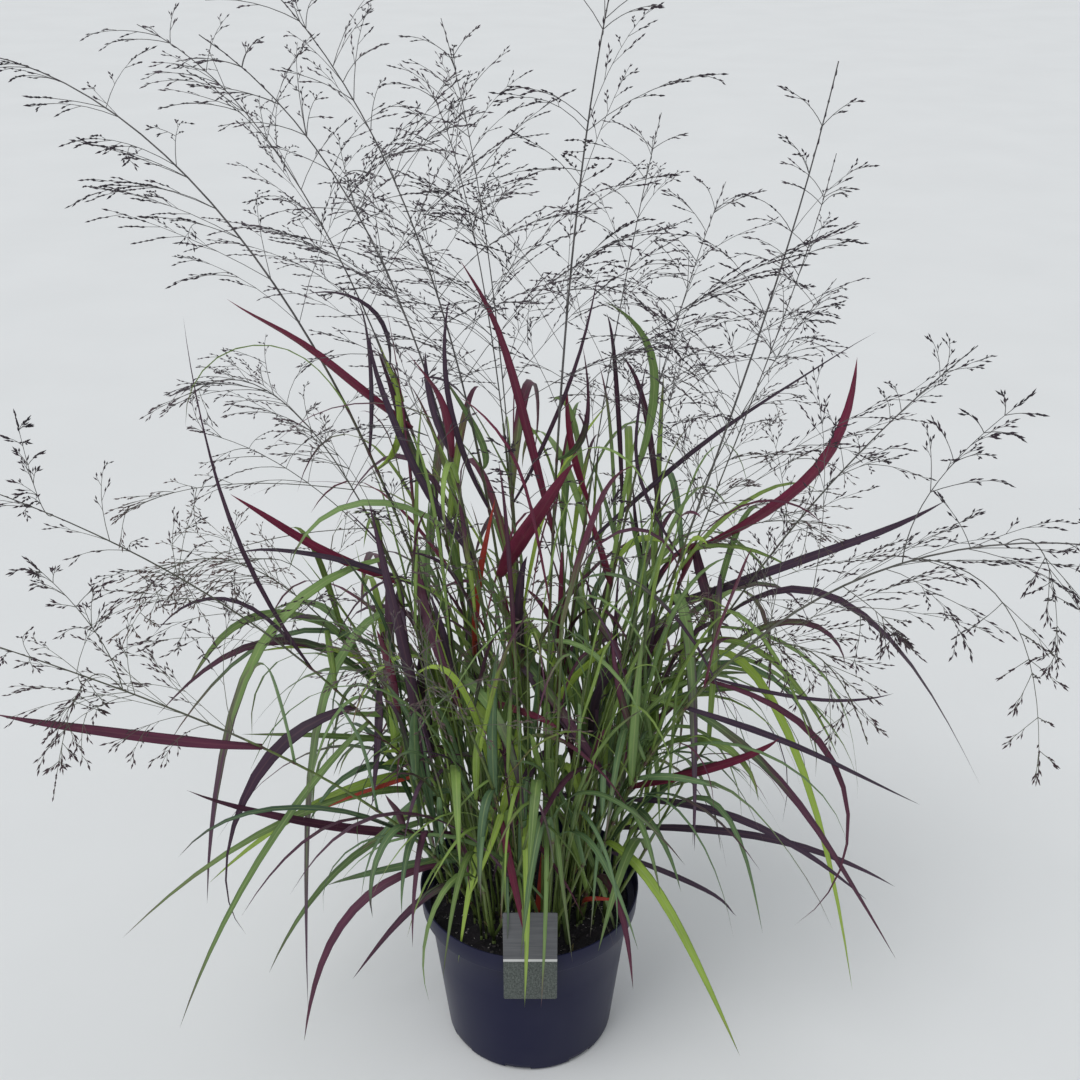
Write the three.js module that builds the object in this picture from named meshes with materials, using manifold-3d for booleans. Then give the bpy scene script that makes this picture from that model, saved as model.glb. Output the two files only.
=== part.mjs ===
// Purple-leaved switchgrass in a five-litre nursery pot, with the label that hangs on the rim.
// Millimetres, +Z up. The origin is the middle of the pot's flat base, and the label faces -Y.
import * as THREE from "three";
import { mergeVertices } from "three/addons/utils/BufferGeometryUtils.js";
import Module from "manifold-3d";

const wasm = await Module();
wasm.setup();

// ---------------------------------------------------------------- driving dimensions

const GAP = 0.3; // between pieces that touch
const UP = new THREE.Vector3(0, 0, 1);
const DEGREE = Math.PI / 180;
const THIRD = (2 * Math.PI) / 3;

const POT = {
  height: 180,
  rim: 112.5, // outer radius at the top
  band: 22, // height of the flared band under the rim
  bandFoot: 111,
  neck: 104, // outer radius just under the band
  foot: 87, // outer radius at the base
  chamfer: 3,
  wall: 1.8,
  floor: 7,
  sides: 32,
};
const NOTCH = { count: 8, width: 27, height: 5, depth: 5, first: -98 * DEGREE };
const COMPOST = { top: 156, lump: 2.5, rings: [96, 55] };
const CARD = { left: -24.4, width: 52, foot: 129, height: 110, thick: 1, corner: 2, clear: 0.6 };
const TONGUE = { width: 14, thick: 1.2, drop: 16 };

// Stems are three-sided. They stand in plain holes in the compost, upright up to `stand` above it.
const STEM = { foot: 2.1, top: 1.2, sunk: 20, stand: 6 };
const SOCKET = 3; // height of the small faces that leaves and branches grow out of

// A blade has a ring of corners at each stop. What a drawn one measures from its root: how far out it
// reaches, how high the control point of its bend lies, and how far its tip ends above or below.
const BLADE = { keel: 1.3, stops: [0.1, 0.36, 0.62, 0.84] };
const ARCHING = { reach: [150, 290], lift: [140, 250], rise: [-90, 90] };
const STANDING = { reach: [30, 130], lift: [130, 220], rise: [140, 280] };
const LEAF = { bend: [0.25, 0.5], width: [6.5, 11.5], spread: 1.4, labelSide: 0.5 };

// Leafy shoots: a side shoot parts low down, and the lowest leaf half way up. Of the drawn leaves on a
// culm and on a shoot, a share stands, and on a culm a larger one the higher they are. The marked
// leaves turn their faces towards the light.
const SHOOT = { side: 0.03, low: 0.5, leaves: 2, reach: [20, 100], tall: [200, 400], standing: 0.5 };
const CULM = { leaves: 4, standing: 0.45, higher: 0.4 };
const LIGHT_SIDE = [0, -0.9, 0.45];

// A spray's axis bears whorls of a long and a shorter branch, and the lower branches fork once. Angles
// are in radians.
const SPRAY = { foot: 1.0, top: 0.6, whorls: 5, reaches: [1.1, 0.7], turn: 2.4, apart: 2.3, forked: 3 };
const TWIG = { thin: 0.5, slant: [0.7, 1.2], sag: [0.1, 0.8], fork: 0.45, side: 0.5 };
const SPIKELET = { long: 5, radius: 1 };

// ---------------------------------------------------------------- hand-set plant

// Flowering stems: the foot on the compost, the knee that the stem leans towards, and the spray's tip.
const CULMS = [
  { foot: [-30, 10], knee: [-210, 50, 940], tip: [-450, 100, 980], spray: 0.55, long: 190 },
  { foot: [-20, 30], knee: [-150, 80, 930], tip: [-330, 130, 1000], spray: 0.55, long: 190 },
  { foot: [0, 0], knee: [-50, 0, 900], tip: [-190, -30, 1050], spray: 0.52, long: 200 },
  { foot: [-15, -15], knee: [-70, -30, 900], tip: [-230, -80, 1020], spray: 0.52, long: 190 },
  { foot: [5, 40], knee: [-30, 110, 860], tip: [-90, 130, 960], spray: 0.5, long: 180 },
  { foot: [15, 5], knee: [25, 0, 850], tip: [65, -10, 1050], spray: 0.52, long: 240 },
  { foot: [40, 20], knee: [110, 60, 720], tip: [175, 120, 870], spray: 0.6, long: 150 },
  { foot: [50, 0], knee: [200, 0, 720], tip: [240, 0, 990], spray: 0.5, long: 180 },
  { foot: [60, 30], knee: [225, 70, 700], tip: [265, 95, 900], spray: 0.5, long: 160 },
  { foot: [50, -40], knee: [220, -150, 690], tip: [420, -265, 706], spray: 0.5, long: 190 },
  { foot: [-50, 0], knee: [-240, -10, 530], tip: [-450, -70, 660], spray: 0.55, long: 160 },
  { foot: [-50, -40], knee: [-200, -110, 430], tip: [-440, -175, 580], spray: 0.68, long: 160 },
  { foot: [-45, 30], knee: [-210, 80, 800], tip: [-330, 110, 660], spray: 0.5, long: 160 },
  { foot: [-60, 20], knee: [-270, 50, 640], tip: [-380, 50, 480], spray: 0.5, long: 150 },
  { foot: [55, -20], knee: [230, -60, 640], tip: [300, -110, 430], spray: 0.5, long: 140 },
  { foot: [65, 10], knee: [250, 30, 620], tip: [390, 30, 750], spray: 0.5, long: 150 },
  { foot: [0, 25], knee: [-20, 60, 850], tip: [-70, 90, 1010], spray: 0.5, long: 180 },
  { foot: [20, 50], knee: [80, 120, 760], tip: [120, 170, 920], spray: 0.5, long: 160 },
  { foot: [45, 45], knee: [180, 130, 640], tip: [290, 160, 770], spray: 0.5, long: 150 },
  { foot: [-10, -50], knee: [-60, -190, 600], tip: [-120, -290, 620], spray: 0.5, long: 130 },
];

// Leafy shoots without flowers, round the clump's edge.
const TUFTS = [
  [-35, -68],
  [15, -72],
  [76, -36],
  [87, 12],
  [50, 70],
  [-5, 74],
  [-58, 57],
  [-82, -8],
];

// Leaves that give the clump its outline: the stem that bears each, where on it, the point half way
// and the tip. The burgundy ones are nodes of their own.
const MARKED_LEAVES = [
  { culm: 1, at: 0.83, mid: [-173, 15, 740], tip: [-243, -25, 812], width: 10, red: true },
  { culm: 5, at: 0.8, mid: [-15, -20, 750], tip: [-50, -50, 855], width: 9, red: true },
  { culm: 2, at: 0.67, mid: [5, -50, 620], tip: [40, -90, 695], width: 13, red: true },
  { culm: 8, at: 0.94, mid: [255, 25, 630], tip: [280, -5, 750], width: 13, red: true },
  { culm: 15, at: 0.96, mid: [296, -20, 515], tip: [430, -60, 345], width: 10, red: true },
  { culm: 14, at: 0.96, mid: [285, -90, 380], tip: [265, -140, 215], width: 11, red: true },
  { culm: 10, at: 0.8, mid: [-266, -55, 338], tip: [-300, -105, 168], width: 13, red: true },
  { culm: 11, at: 0.96, mid: [-345, -135, 458], tip: [-445, -155, 495], width: 10, red: true },
  { culm: 10, at: 0.26, mid: [-210, -40, 285], tip: [-310, -90, 365], width: 10, red: true },
  { culm: 0, at: 0.8, mid: [-135, 15, 740], tip: [-140, -15, 815], width: 7 },
  { culm: 1, at: 0.72, mid: [-115, 35, 685], tip: [-125, 5, 765], width: 9 },
  { culm: 1, at: 0.94, mid: [-135, 50, 775], tip: [-195, 50, 795], width: 7 },
  { culm: 3, at: 0.93, mid: [-70, -60, 735], tip: [-95, -90, 790], width: 8 },
  { culm: 10, at: 0.97, mid: [-268, -15, 622], tip: [-270, -15, 785], width: 5 },
  { culm: 2, at: 0.8, mid: [-65, -35, 725], tip: [-60, -50, 820], width: 8 },
  { culm: 4, at: 0.82, mid: [30, 45, 690], tip: [60, 15, 825], width: 7 },
  { culm: 17, at: 0.94, mid: [40, 75, 640], tip: [35, 45, 710], width: 7 },
  { culm: 5, at: 0.95, mid: [50, -20, 695], tip: [45, -50, 780], width: 8 },
  { culm: 6, at: 0.96, mid: [110, 50, 730], tip: [65, 50, 785], width: 9 },
  { culm: 7, at: 0.95, mid: [95, 0, 660], tip: [110, 0, 745], width: 6 },
  { culm: 17, at: 0.82, mid: [190, 75, 660], tip: [305, 35, 760], width: 7 },
  { culm: 8, at: 0.8, mid: [265, 10, 555], tip: [360, -40, 635], width: 9 },
  { culm: 12, at: 0.76, mid: [-205, 35, 555], tip: [-265, 5, 620], width: 9 },
  { culm: 0, at: 0.56, mid: [-210, 25, 550], tip: [-285, 25, 540], width: 7 },
  { culm: 13, at: 0.94, mid: [-260, 15, 485], tip: [-325, -15, 425], width: 9 },
  { culm: 13, at: 0.8, mid: [-212, 85, 460], tip: [-280, 100, 430], width: 8 },
  { culm: 13, at: 0.7, mid: [-238, 0, 468], tip: [-345, -50, 420], width: 10 },
  { culm: 12, at: 0.83, mid: [-257, -25, 458], tip: [-320, -45, 190], width: 10 },
  { culm: 12, at: 0.7, mid: [-200, -7, 388], tip: [-235, -30, 30], width: 10 },
  { culm: 13, at: 0.3, mid: [-220, -35, 295], tip: [-400, -85, 180], width: 9 },
  { culm: 10, at: 0.74, mid: [-250, -70, 280], tip: [-345, -120, 95], width: 8 },
  { culm: 11, at: 0.31, mid: [-175, -95, 215], tip: [-225, -125, 80], width: 9 },
  { culm: 11, at: 0.2, mid: [-110, -70, 210], tip: [-175, -100, 140], width: 8 },
  { culm: 13, at: 0.23, mid: [-190, -5, 205], tip: [-270, -35, 85], width: 8 },
  { culm: 15, at: 0.82, mid: [240, -20, 395], tip: [330, -70, 95], width: 9 },
  { culm: 14, at: 0.46, mid: [175, -80, 385], tip: [222, -115, 440], width: 9 },
  { culm: 14, at: 0.82, mid: [240, -90, 360], tip: [345, -140, 205], width: 9 },
  { culm: 15, at: 0.22, mid: [240, -20, 250], tip: [365, -50, 215], width: 8 },
  { culm: 14, at: 0.41, mid: [212, -57, 300], tip: [328, -87, 230], width: 8 },
  { culm: 14, at: 0.22, mid: [170, -45, 210], tip: [200, -75, 200], width: 8 },
  { culm: 9, at: 0.29, mid: [130, -110, 245], tip: [205, -150, 90], width: 10 },
  { culm: 7, at: 0.83, mid: [145, -50, 500], tip: [155, -90, 295], width: 11 },
  { culm: 10, at: 0.45, mid: [-110, -55, 490], tip: [-130, -95, 660], width: 11 },
  { culm: 0, at: 0.3, mid: [-75, -30, 480], tip: [-85, -60, 560], width: 9 },
  { culm: 9, at: 0.79, mid: [250, -100, 415], tip: [360, -100, 355], width: 7 },
];

// ---------------------------------------------------------------- solids and meshes

// A closed solid from a geometry, with its shared vertices merged and its collapsed faces dropped.
function solid(geometry) {
  geometry.deleteAttribute("normal");
  geometry.deleteAttribute("uv");
  const merged = mergeVertices(geometry, 1e-4);
  const corners = merged.index.array;
  const kept = [];
  for (let i = 0; i < corners.length; i += 3) {
    const [a, b, c] = [corners[i], corners[i + 1], corners[i + 2]];
    if (a !== b && b !== c && c !== a) kept.push(a, b, c);
  }
  return new wasm.Manifold(
    new wasm.Mesh({
      numProp: 3,
      vertProperties: merged.attributes.position.array,
      triVerts: new Uint32Array(kept),
    }),
  );
}

function named(name, shape, material) {
  const { vertProperties, triVerts } = shape.getMesh();
  const geometry = new THREE.BufferGeometry()
    .setAttribute("position", new THREE.BufferAttribute(vertProperties, 3))
    .setIndex(new THREE.BufferAttribute(triVerts, 1));
  geometry.computeVertexNormals();
  const mesh = new THREE.Mesh(geometry, material);
  mesh.name = name;
  return mesh;
}

const numbered = (name, index) => `${name}_${String(index + 1).padStart(2, "0")}`;

// Turns a profile of [radius, height] round the Z axis.
const turned = (profile, sides) =>
  new THREE.LatheGeometry(
    profile.map(([radius, height]) => new THREE.Vector2(radius, height)),
    sides,
  ).rotateX(Math.PI / 2);

// ---------------------------------------------------------------- curves and draws

const vector = (coordinates) => new THREE.Vector3(...coordinates);
const heading = (angle) => new THREE.Vector3(Math.cos(angle), Math.sin(angle), 0);
const bearing = (v) => Math.atan2(v.y, v.x);

// Evenly spread draws between two limits, the same for the same seed.
function draws(seed) {
  const modulus = 2147483647;
  let state = (seed * 7919 + 104729) % modulus;
  const next = () => {
    state = (state * 16807) % modulus;
    return state / modulus;
  };
  next();
  next();
  return (low, high) => low + (high - low) * next();
}

// Where a curve is at t, with the way it runs and the way across it that is nearest to `aside`.
function frameAt(curve, t, aside) {
  const along = curve.getTangent(t);
  const across = aside.clone().addScaledVector(along, -aside.dot(along)).normalize();
  return { at: curve.getPoint(t), along, across, under: across.clone().cross(along) };
}

// Level, and square to the curve's whole reach.
function asideOf(curve) {
  const reach = curve.getPoint(1).sub(curve.getPoint(0));
  return heading(bearing(reach) + Math.PI / 2);
}

// Square to a marked leaf that has turned its face partly to the front, towards the light.
function turnedAside(curve) {
  const level = frameAt(curve, 0.5, asideOf(curve)).across;
  const facing = curve.getTangent(0.5).cross(vector(LIGHT_SIDE)).normalize();
  const turn = level.dot(facing) > 0 ? 1.5 : -1.5;
  return level.addScaledVector(facing, turn).normalize();
}

// A curve from a root through a point half way to a tip.
function archThrough(root, middle, tip) {
  const bend = middle.clone().multiplyScalar(2).addScaledVector(root, -0.5).addScaledVector(tip, -0.5);
  return new THREE.QuadraticBezierCurve3(root, bend, tip);
}

// ---------------------------------------------------------------- room

// What stands where, as small balls in a grid of cells, so that strands of two nodes stay clear.
const CELL = 8;
const cells = new Map();
const cellOf = (value) => Math.floor(value / CELL);
const keyOf = (x, y, z) => `${x},${y},${z}`;

function claim(balls) {
  for (const ball of balls) {
    const key = keyOf(cellOf(ball.at.x), cellOf(ball.at.y), cellOf(ball.at.z));
    if (!cells.has(key)) cells.set(key, []);
    cells.get(key).push(ball);
  }
}

// A strand's first stretch may touch its own family, whose owners' names begin alike.
function touches(ball, family) {
  const [x, y, z] = [cellOf(ball.at.x), cellOf(ball.at.y), cellOf(ball.at.z)];
  for (let i = x - 1; i <= x + 1; i += 1) {
    for (let j = y - 1; j <= y + 1; j += 1) {
      for (let k = z - 1; k <= z + 1; k += 1) {
        for (const other of cells.get(keyOf(i, j, k)) ?? []) {
          if (ball.near && other.owner.startsWith(family)) continue;
          if (other.at.distanceTo(ball.at) < other.radius + ball.radius) return true;
        }
      }
    }
  }
  return false;
}

// The pot, its compost, the label and the ground.
const CLEAR = 1.5;
function strikes({ at, radius }) {
  const room = radius + CLEAR;
  const out = Math.hypot(at.x, at.y);
  if (at.z < room) return true;
  if (out < POT.neck - POT.wall - room) {
    if (at.z < COMPOST.top + COMPOST.lump + room) return true;
  } else if (out < POT.rim + room && at.z < POT.height + room) {
    return true;
  }
  return (
    at.x > CARD.left - room &&
    at.x < CARD.left + CARD.width + room &&
    at.y > -POT.rim - CARD.clear - CARD.thick - room &&
    at.y < -POT.rim + TONGUE.thick + 5 + room &&
    at.z > CARD.foot - room &&
    at.z < CARD.foot + CARD.height + room
  );
}

const SPACING = 4.5;
const NEAR = { blade: 14, twig: 6 }; // length of a strand's first stretch
const BALL = { stem: 2.6, axis: 1.9, twig: 1.7, blade: 1.1 };

// A curve's length by the sides of its control polygon, which is never too short.
const controlLength = (curve) =>
  curve.isCubicBezierCurve3
    ? curve.v0.distanceTo(curve.v1) + curve.v1.distanceTo(curve.v2) + curve.v2.distanceTo(curve.v3)
    : curve.v0.distanceTo(curve.v1) + curve.v1.distanceTo(curve.v2);

// Places a few millimetres apart along the straight stretches between a curve's stops, each with its
// distance from the first stop and its place t on the curve.
function placesAlong(curve, stops) {
  const places = [];
  let walked = 0;
  for (let i = 1; i < stops.length; i += 1) {
    const [from, to] = [curve.getPoint(stops[i - 1]), curve.getPoint(stops[i])];
    const long = from.distanceTo(to);
    const count = Math.ceil(long / SPACING);
    for (let k = 1; k <= count; k += 1) {
      const share = k / count;
      const t = THREE.MathUtils.lerp(stops[i - 1], stops[i], share);
      places.push({ at: from.clone().lerp(to, share), walked: walked + share * long, t });
    }
    walked += long;
  }
  return places;
}

const roundBalls = (curve, stops, radius, owner, near = 0) =>
  placesAlong(curve, stops).map(({ at, walked }) => ({ at, radius, owner, near: walked < near }));

// Three balls side by side across the blade.
const bladeBalls = ({ curve, width, aside }, owner) =>
  placesAlong(curve, [0, ...BLADE.stops, 1]).flatMap(({ at, walked, t }) => {
    const wide = width * bladeShare(t);
    const { across } = frameAt(curve, t, aside);
    return [-1, 0, 1].map((share) => ({
      at: at.clone().addScaledVector(across, (share * wide) / 3),
      radius: wide / 6 + BALL.blade,
      owner,
      near: walked < NEAR.blade,
    }));
  });

// ---------------------------------------------------------------- strands

// A blade is narrow at its root, widest a quarter of the way out, and ends in a long point.
const bladeShare = (t) => Math.min(1, 0.55 + 1.8 * t) * (1 - t ** 2.5);

function triangle({ at, across, under }, radius, start) {
  return [0, 1, 2].map((k) => {
    const turn = start + k * THIRD;
    return at
      .clone()
      .addScaledVector(across, radius * Math.cos(turn))
      .addScaledVector(under, -radius * Math.sin(turn));
  });
}

// Flat above, with a keel under its middle.
function bladeCorners({ at, across, under }, width) {
  return [
    at.clone().addScaledVector(across, width / 2),
    at.clone().addScaledVector(across, -width / 2),
    at.clone().addScaledVector(under, BLADE.keel),
  ];
}

// The three-sided skin of a strand and of all that grows from it. A strand has a curve and stations,
// each with its place t, a radius or a blade's width, and its forks, which grow out of small faces there.
// Its end is a point, a flat face or one more strand. A fork that is `apart` gets its own skin later,
// a gap away from its seat. The skin starts from the three corners of `base`.
function skinOf(strand, base) {
  const points = [...base];
  const faces = [[0, 2, 1]];
  const apart = [];
  const angleIn = ({ across, under }, v) => Math.atan2(-v.dot(under), v.dot(across));
  const middleOf = (corners) => corners[0].clone().add(corners[1]).add(corners[2]).divideScalar(3);
  const pick = (ring) => ring.map((i) => points[i]);

  const normalOf = (face) => {
    const [a, b, c] = pick(face);
    return b.clone().sub(a).cross(c.clone().sub(a)).normalize();
  };

  const addRing = (curve, station, aside, before, facing) => {
    const frame = frameAt(curve, station.t, aside);
    const past = pick(before);
    const corner = past[0].clone().sub(middleOf(past));
    const start = facing ? angleIn(frame, facing) - THIRD / 2 : angleIn(frame, corner);
    const { width, radius } = station;
    points.push(...(width ? bladeCorners(frame, width) : triangle(frame, radius, start)));
    return [3, 2, 1].map((k) => points.length - k);
  };

  // The two faces of one side between two rings, split from corner to corner either way.
  const sideFaces = (a, b, k, split) => {
    const n = (k + 1) % 3;
    return split
      ? [[a[k], a[n], b[k]], [a[n], b[n], b[k]]]
      : [[a[k], a[n], b[n]], [a[k], b[n], b[k]]];
  };

  // How far the less outward of a side's two faces turns away from the line between the rings' middles.
  const outwards = (sides, low, high) =>
    Math.min(
      ...sides.map((face, i) => {
        const inside = low.clone().lerp(high, (i + 1) / 3);
        return normalOf(face).dot(middleOf(pick(face)).sub(inside).normalize());
      }),
    );

  // The faces between two rings. Of the ways to pair their corners and split their sides it takes the one
  // that turns outwards all round, so that no two faces cross.
  const band = (a, b) => {
    const [low, high] = [middleOf(pick(a)), middleOf(pick(b))];
    const ways = [0, 1, 2].map((shift) => {
      const turnedRing = [0, 1, 2].map((k) => b[(k + shift) % 3]);
      const sides = [0, 1, 2].map((k) => {
        const splits = [false, true].map((split) => sideFaces(a, turnedRing, k, split));
        const [plain, swapped] = splits.map((faces) => ({ faces, score: outwards(faces, low, high) }));
        return swapped.score > plain.score ? swapped : plain;
      });
      return { sides, score: Math.min(...sides.map(({ score }) => score)) };
    });
    ways.sort((p, q) => q.score - p.score);
    return ways[0].sides.flatMap(({ faces }) => faces);
  };

  const grow = ({ curve, aside = asideOf(curve), stations, end = "point" }, from) => {
    let ring = from;
    for (const station of stations) {
      const forks = station.forks ?? [];
      const ways = forks.map((fork) => fork.curve.getTangent(0));
      const next = addRing(curve, station, aside, ring, ways[0]);
      faces.push(...band(ring, next));
      ring = next;
      if (!forks.length) continue;
      const t = station.t + SOCKET / controlLength(curve);
      const upper = addRing(curve, { ...station, t }, aside, ring);
      const seats = [0, 1, 2].flatMap((k) => sideFaces(ring, upper, k, false));
      const free = [1, 3, 5];
      forks.forEach((fork, i) => {
        const facing = (seat) => normalOf(seats[seat]).dot(ways[i]);
        const seat = free.sort((p, q) => facing(q) - facing(p)).shift();
        if (fork.apart) {
          const step = normalOf(seats[seat]).multiplyScalar(GAP);
          apart.push({ fork, base: pick(seats[seat]).map((corner) => corner.clone().add(step)) });
        } else {
          grow(fork, seats[seat]);
          seats[seat] = null;
        }
      });
      faces.push(...seats.filter(Boolean));
      ring = upper;
    }
    if (end === "flat") {
      faces.push([...ring]);
    } else if (end === "point") {
      const tip = points.push(curve.getPoint(1)) - 1;
      [0, 1, 2].forEach((k) => faces.push([ring[k], ring[(k + 1) % 3], tip]));
    } else {
      grow(end, ring);
    }
  };

  grow(strand, [0, 1, 2]);
  const geometry = new THREE.BufferGeometry().setFromPoints(points).setIndex(faces.flat());
  return { shape: solid(geometry), apart };
}

// The corners of a stem's foot, sunk in the compost below the start of its curve.
function sunkBase(curve) {
  const foot = curve.getPoint(0);
  const across = asideOf(curve);
  const at = new THREE.Vector3(foot.x, foot.y, COMPOST.top - STEM.sunk);
  return triangle({ at, across, under: across.clone().cross(UP) }, STEM.foot, 0);
}

// The plain hole that the foot stands in.
function holeSolid(curve) {
  const corners = sunkBase(curve);
  const middle = curve.getPoint(0);
  const outline = corners.map((corner) => {
    const out = corner.clone().sub(middle).setZ(0);
    return out.multiplyScalar(1 + (2 * GAP) / STEM.foot).add(middle);
  });
  const shape = new THREE.Shape(outline.map(({ x, y }) => new THREE.Vector2(x, y)));
  const depth = STEM.sunk + GAP + 2 * STEM.stand;
  const hole = new THREE.ExtrudeGeometry(shape, { depth, bevelEnabled: false });
  return solid(hole.translate(0, 0, COMPOST.top - STEM.sunk - GAP));
}

const leafStrand = ({ curve, width, aside, apart }) => ({
  curve,
  aside,
  apart,
  stations: BLADE.stops.map((t) => ({ t, width: width * bladeShare(t) })),
});

// A stem's stations: upright at its foot, then a ring at each fork.
function stemStations(from, to, forks) {
  const rows = forks.map(({ t, strands }) => ({ t, forks: strands }));
  return [{ t: from, forks: [] }, ...rows.sort((a, b) => a.t - b.t), { t: to }].map((station) => ({
    ...station,
    radius: THREE.MathUtils.mapLinear(station.t, from, to, STEM.foot, STEM.top),
  }));
}

// ---------------------------------------------------------------- growth

const ATTEMPTS = 40;

// The first of some draws whose balls are free takes its room. Where none of them is, nothing grows.
function placed(draw, ballsOf, family) {
  for (let attempt = 0; attempt < ATTEMPTS; attempt += 1) {
    const found = draw();
    const balls = ballsOf(found);
    if (balls.some((ball) => (!ball.near && strikes(ball)) || touches(ball, family))) continue;
    claim(balls);
    return found;
  }
  return null;
}

// A leaf drawn from a stem's point: some stand, the others arch over. Those that come out over the
// label's side stay shorter, and those high on the stem are smaller.
function drawnLeaf(random, root, outward, height, standing) {
  const angle = outward + random(-LEAF.spread, LEAF.spread);
  const out = heading(angle);
  const form = random(0, 1) < standing ? STANDING : ARCHING;
  const size = (1 - LEAF.labelSide * Math.max(0, -out.y) ** 2) * (1 - 0.25 * height);
  const reach = size * random(...form.reach);
  const bendOut = reach * random(...LEAF.bend);
  const bend = root.clone().addScaledVector(out, bendOut).addScaledVector(UP, size * random(...form.lift));
  const tip = root.clone().addScaledVector(out, reach).addScaledVector(UP, size * random(...form.rise));
  return {
    curve: new THREE.QuadraticBezierCurve3(root, bend, tip),
    width: random(...LEAF.width) * (1 - 0.15 * height),
    aside: heading(angle + Math.PI / 2 + random(-0.3, 0.3)),
  };
}

// A stem's curve: upright at first, leaning to its knee, and on to its tip.
function stemCurve(foot, knee, tip) {
  const low = new THREE.Vector3(foot[0], foot[1], COMPOST.top + STEM.stand);
  const lean = vector(knee).sub(low);
  const lift = low.clone().add(new THREE.Vector3(0.25 * lean.x, 0.25 * lean.y, 0.5 * lean.z));
  return new THREE.CubicBezierCurve3(low, lift, vector(knee), vector(tip));
}

// Evenly spaced stops, from the first to the last.
const stopsBetween = (first, last, count) =>
  Array.from({ length: count }, (_, k) => THREE.MathUtils.lerp(first, last, k / (count - 1)));

// Where a culm's drawn leaves and its spray's whorls part from it.
const leafStops = (spray) => stopsBetween(0.1 * spray, 0.88 * spray, CULM.leaves);
const whorlStops = (spray) => stopsBetween(spray + 0.05 * (1 - spray), 0.88 + 0.12 * spray, SPRAY.whorls);

const culms = CULMS.map(({ foot, knee, tip, spray, long }, index) => {
  const name = numbered("culm", index);
  const curve = stemCurve(foot, knee, tip);
  claim(roundBalls(curve, [0, ...leafStops(spray), spray], BALL.stem, name));
  claim(roundBalls(curve, [spray, ...whorlStops(spray), 1], BALL.axis, numbered("panicle", index)));
  return { name, curve, spray, long, leaves: [] };
});

for (const { culm: index, at, mid, tip, width, red = false } of MARKED_LEAVES) {
  const culm = culms[index];
  const t = at * culm.spray;
  const curve = archThrough(culm.curve.getPoint(t), vector(mid), vector(tip));
  const leaf = { curve, width, aside: turnedAside(curve), apart: red };
  claim(bladeBalls(leaf, `${culm.name}/leaf`));
  culm.leaves.push({ t, leaf });
}

// Each tuft is a shoot with two more that part from its foot.
const shootStops = stopsBetween(SHOOT.low, 1, SHOOT.leaves);
const tufts = TUFTS.map((centre, index) => {
  const name = numbered("tuft", index);
  const outward = Math.atan2(centre[1], centre[0]);
  const ground = new THREE.Vector3(...centre, COMPOST.top);
  const shoots = [];
  for (let s = 0; s < 3; s += 1) {
    const random = draws(500 + 3 * index + s);
    const owner = `${name}/${s}`;
    const curve = placed(
      () => {
        const out = heading(outward + (s - 1) * 0.9 + random(-0.4, 0.4));
        const reach = random(...SHOOT.reach);
        const tall = random(...SHOOT.tall);
        const knee = ground.clone().addScaledVector(out, 0.4 * reach).addScaledVector(UP, 0.6 * tall);
        const tip = ground.clone().addScaledVector(out, reach).addScaledVector(UP, tall);
        if (s === 0) return stemCurve(centre, knee.toArray(), tip.toArray());
        const root = shoots[0].curve.getPoint(SHOOT.side);
        const lift = root.clone().addScaledVector(out, 22).addScaledVector(UP, 26);
        return new THREE.CubicBezierCurve3(root, lift, knee.addScaledVector(out, 14), tip);
      },
      (found) => roundBalls(found, [0, SHOOT.side, ...shootStops], BALL.stem, owner, NEAR.blade),
      name,
    );
    if (curve) shoots.push({ curve, owner, leaves: [] });
  }
  return { name, outward, shoots };
});

// Leaves part from a stem to its two sides in turn.
culms.forEach((culm, index) => {
  const lean = bearing(vector(CULMS[index].knee).sub(culm.curve.getPoint(0)));
  leafStops(culm.spray).forEach((t, k) => {
    const random = draws(1000 + CULM.leaves * index + k);
    const height = k / (CULM.leaves - 1);
    const side = k % 2 ? 0.6 : -0.6;
    const standing = CULM.standing + CULM.higher * height;
    const leaf = placed(
      () => drawnLeaf(random, culm.curve.getPoint(t), lean + side, height, standing),
      (found) => bladeBalls(found, `${culm.name}/leaf`),
      culm.name,
    );
    if (leaf) culm.leaves.push({ t, leaf });
  });
});

tufts.forEach((tuft, index) => {
  tuft.shoots.forEach((shoot, s) => {
    shootStops.forEach((t, k) => {
      const random = draws(2000 + SHOOT.leaves * (3 * index + s) + k);
      const height = (0.4 * k) / (SHOOT.leaves - 1);
      const side = k % 2 ? 0.5 : -0.5;
      const leaf = placed(
        () => drawnLeaf(random, shoot.curve.getPoint(t), tuft.outward + side, height, SHOOT.standing),
        (found) => bladeBalls(found, `${shoot.owner}/leaf`),
        shoot.owner,
      );
      if (leaf) shoot.leaves.push({ t, leaf });
    });
  });
});

// ---------------------------------------------------------------- sprays

// A branch that leaves its parent at a slant, bends outwards and sags.
function drawnTwig(random, root, along, angle, long) {
  const out = heading(angle);
  const slant = along.clone().addScaledVector(out, random(...TWIG.slant)).normalize();
  const bend = root.clone().addScaledVector(slant, long * 0.55);
  const sag = new THREE.Vector3(0, 0, -random(...TWIG.sag));
  const onward = slant.clone().addScaledVector(out, 0.5).add(sag).normalize();
  return new THREE.QuadraticBezierCurve3(root, bend, bend.clone().addScaledVector(onward, long * 0.5));
}

// The stations of a thin branch that ends in one spikelet, with a side branch on its middle or none.
function twigStations(curve, side) {
  const long = controlLength(curve);
  return [
    { t: TWIG.fork, radius: TWIG.thin, forks: side ? [side] : [] },
    { t: 1 - SPIKELET.long / long, radius: TWIG.thin },
    { t: 1 - (0.45 * SPIKELET.long) / long, radius: SPIKELET.radius },
  ];
}

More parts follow.
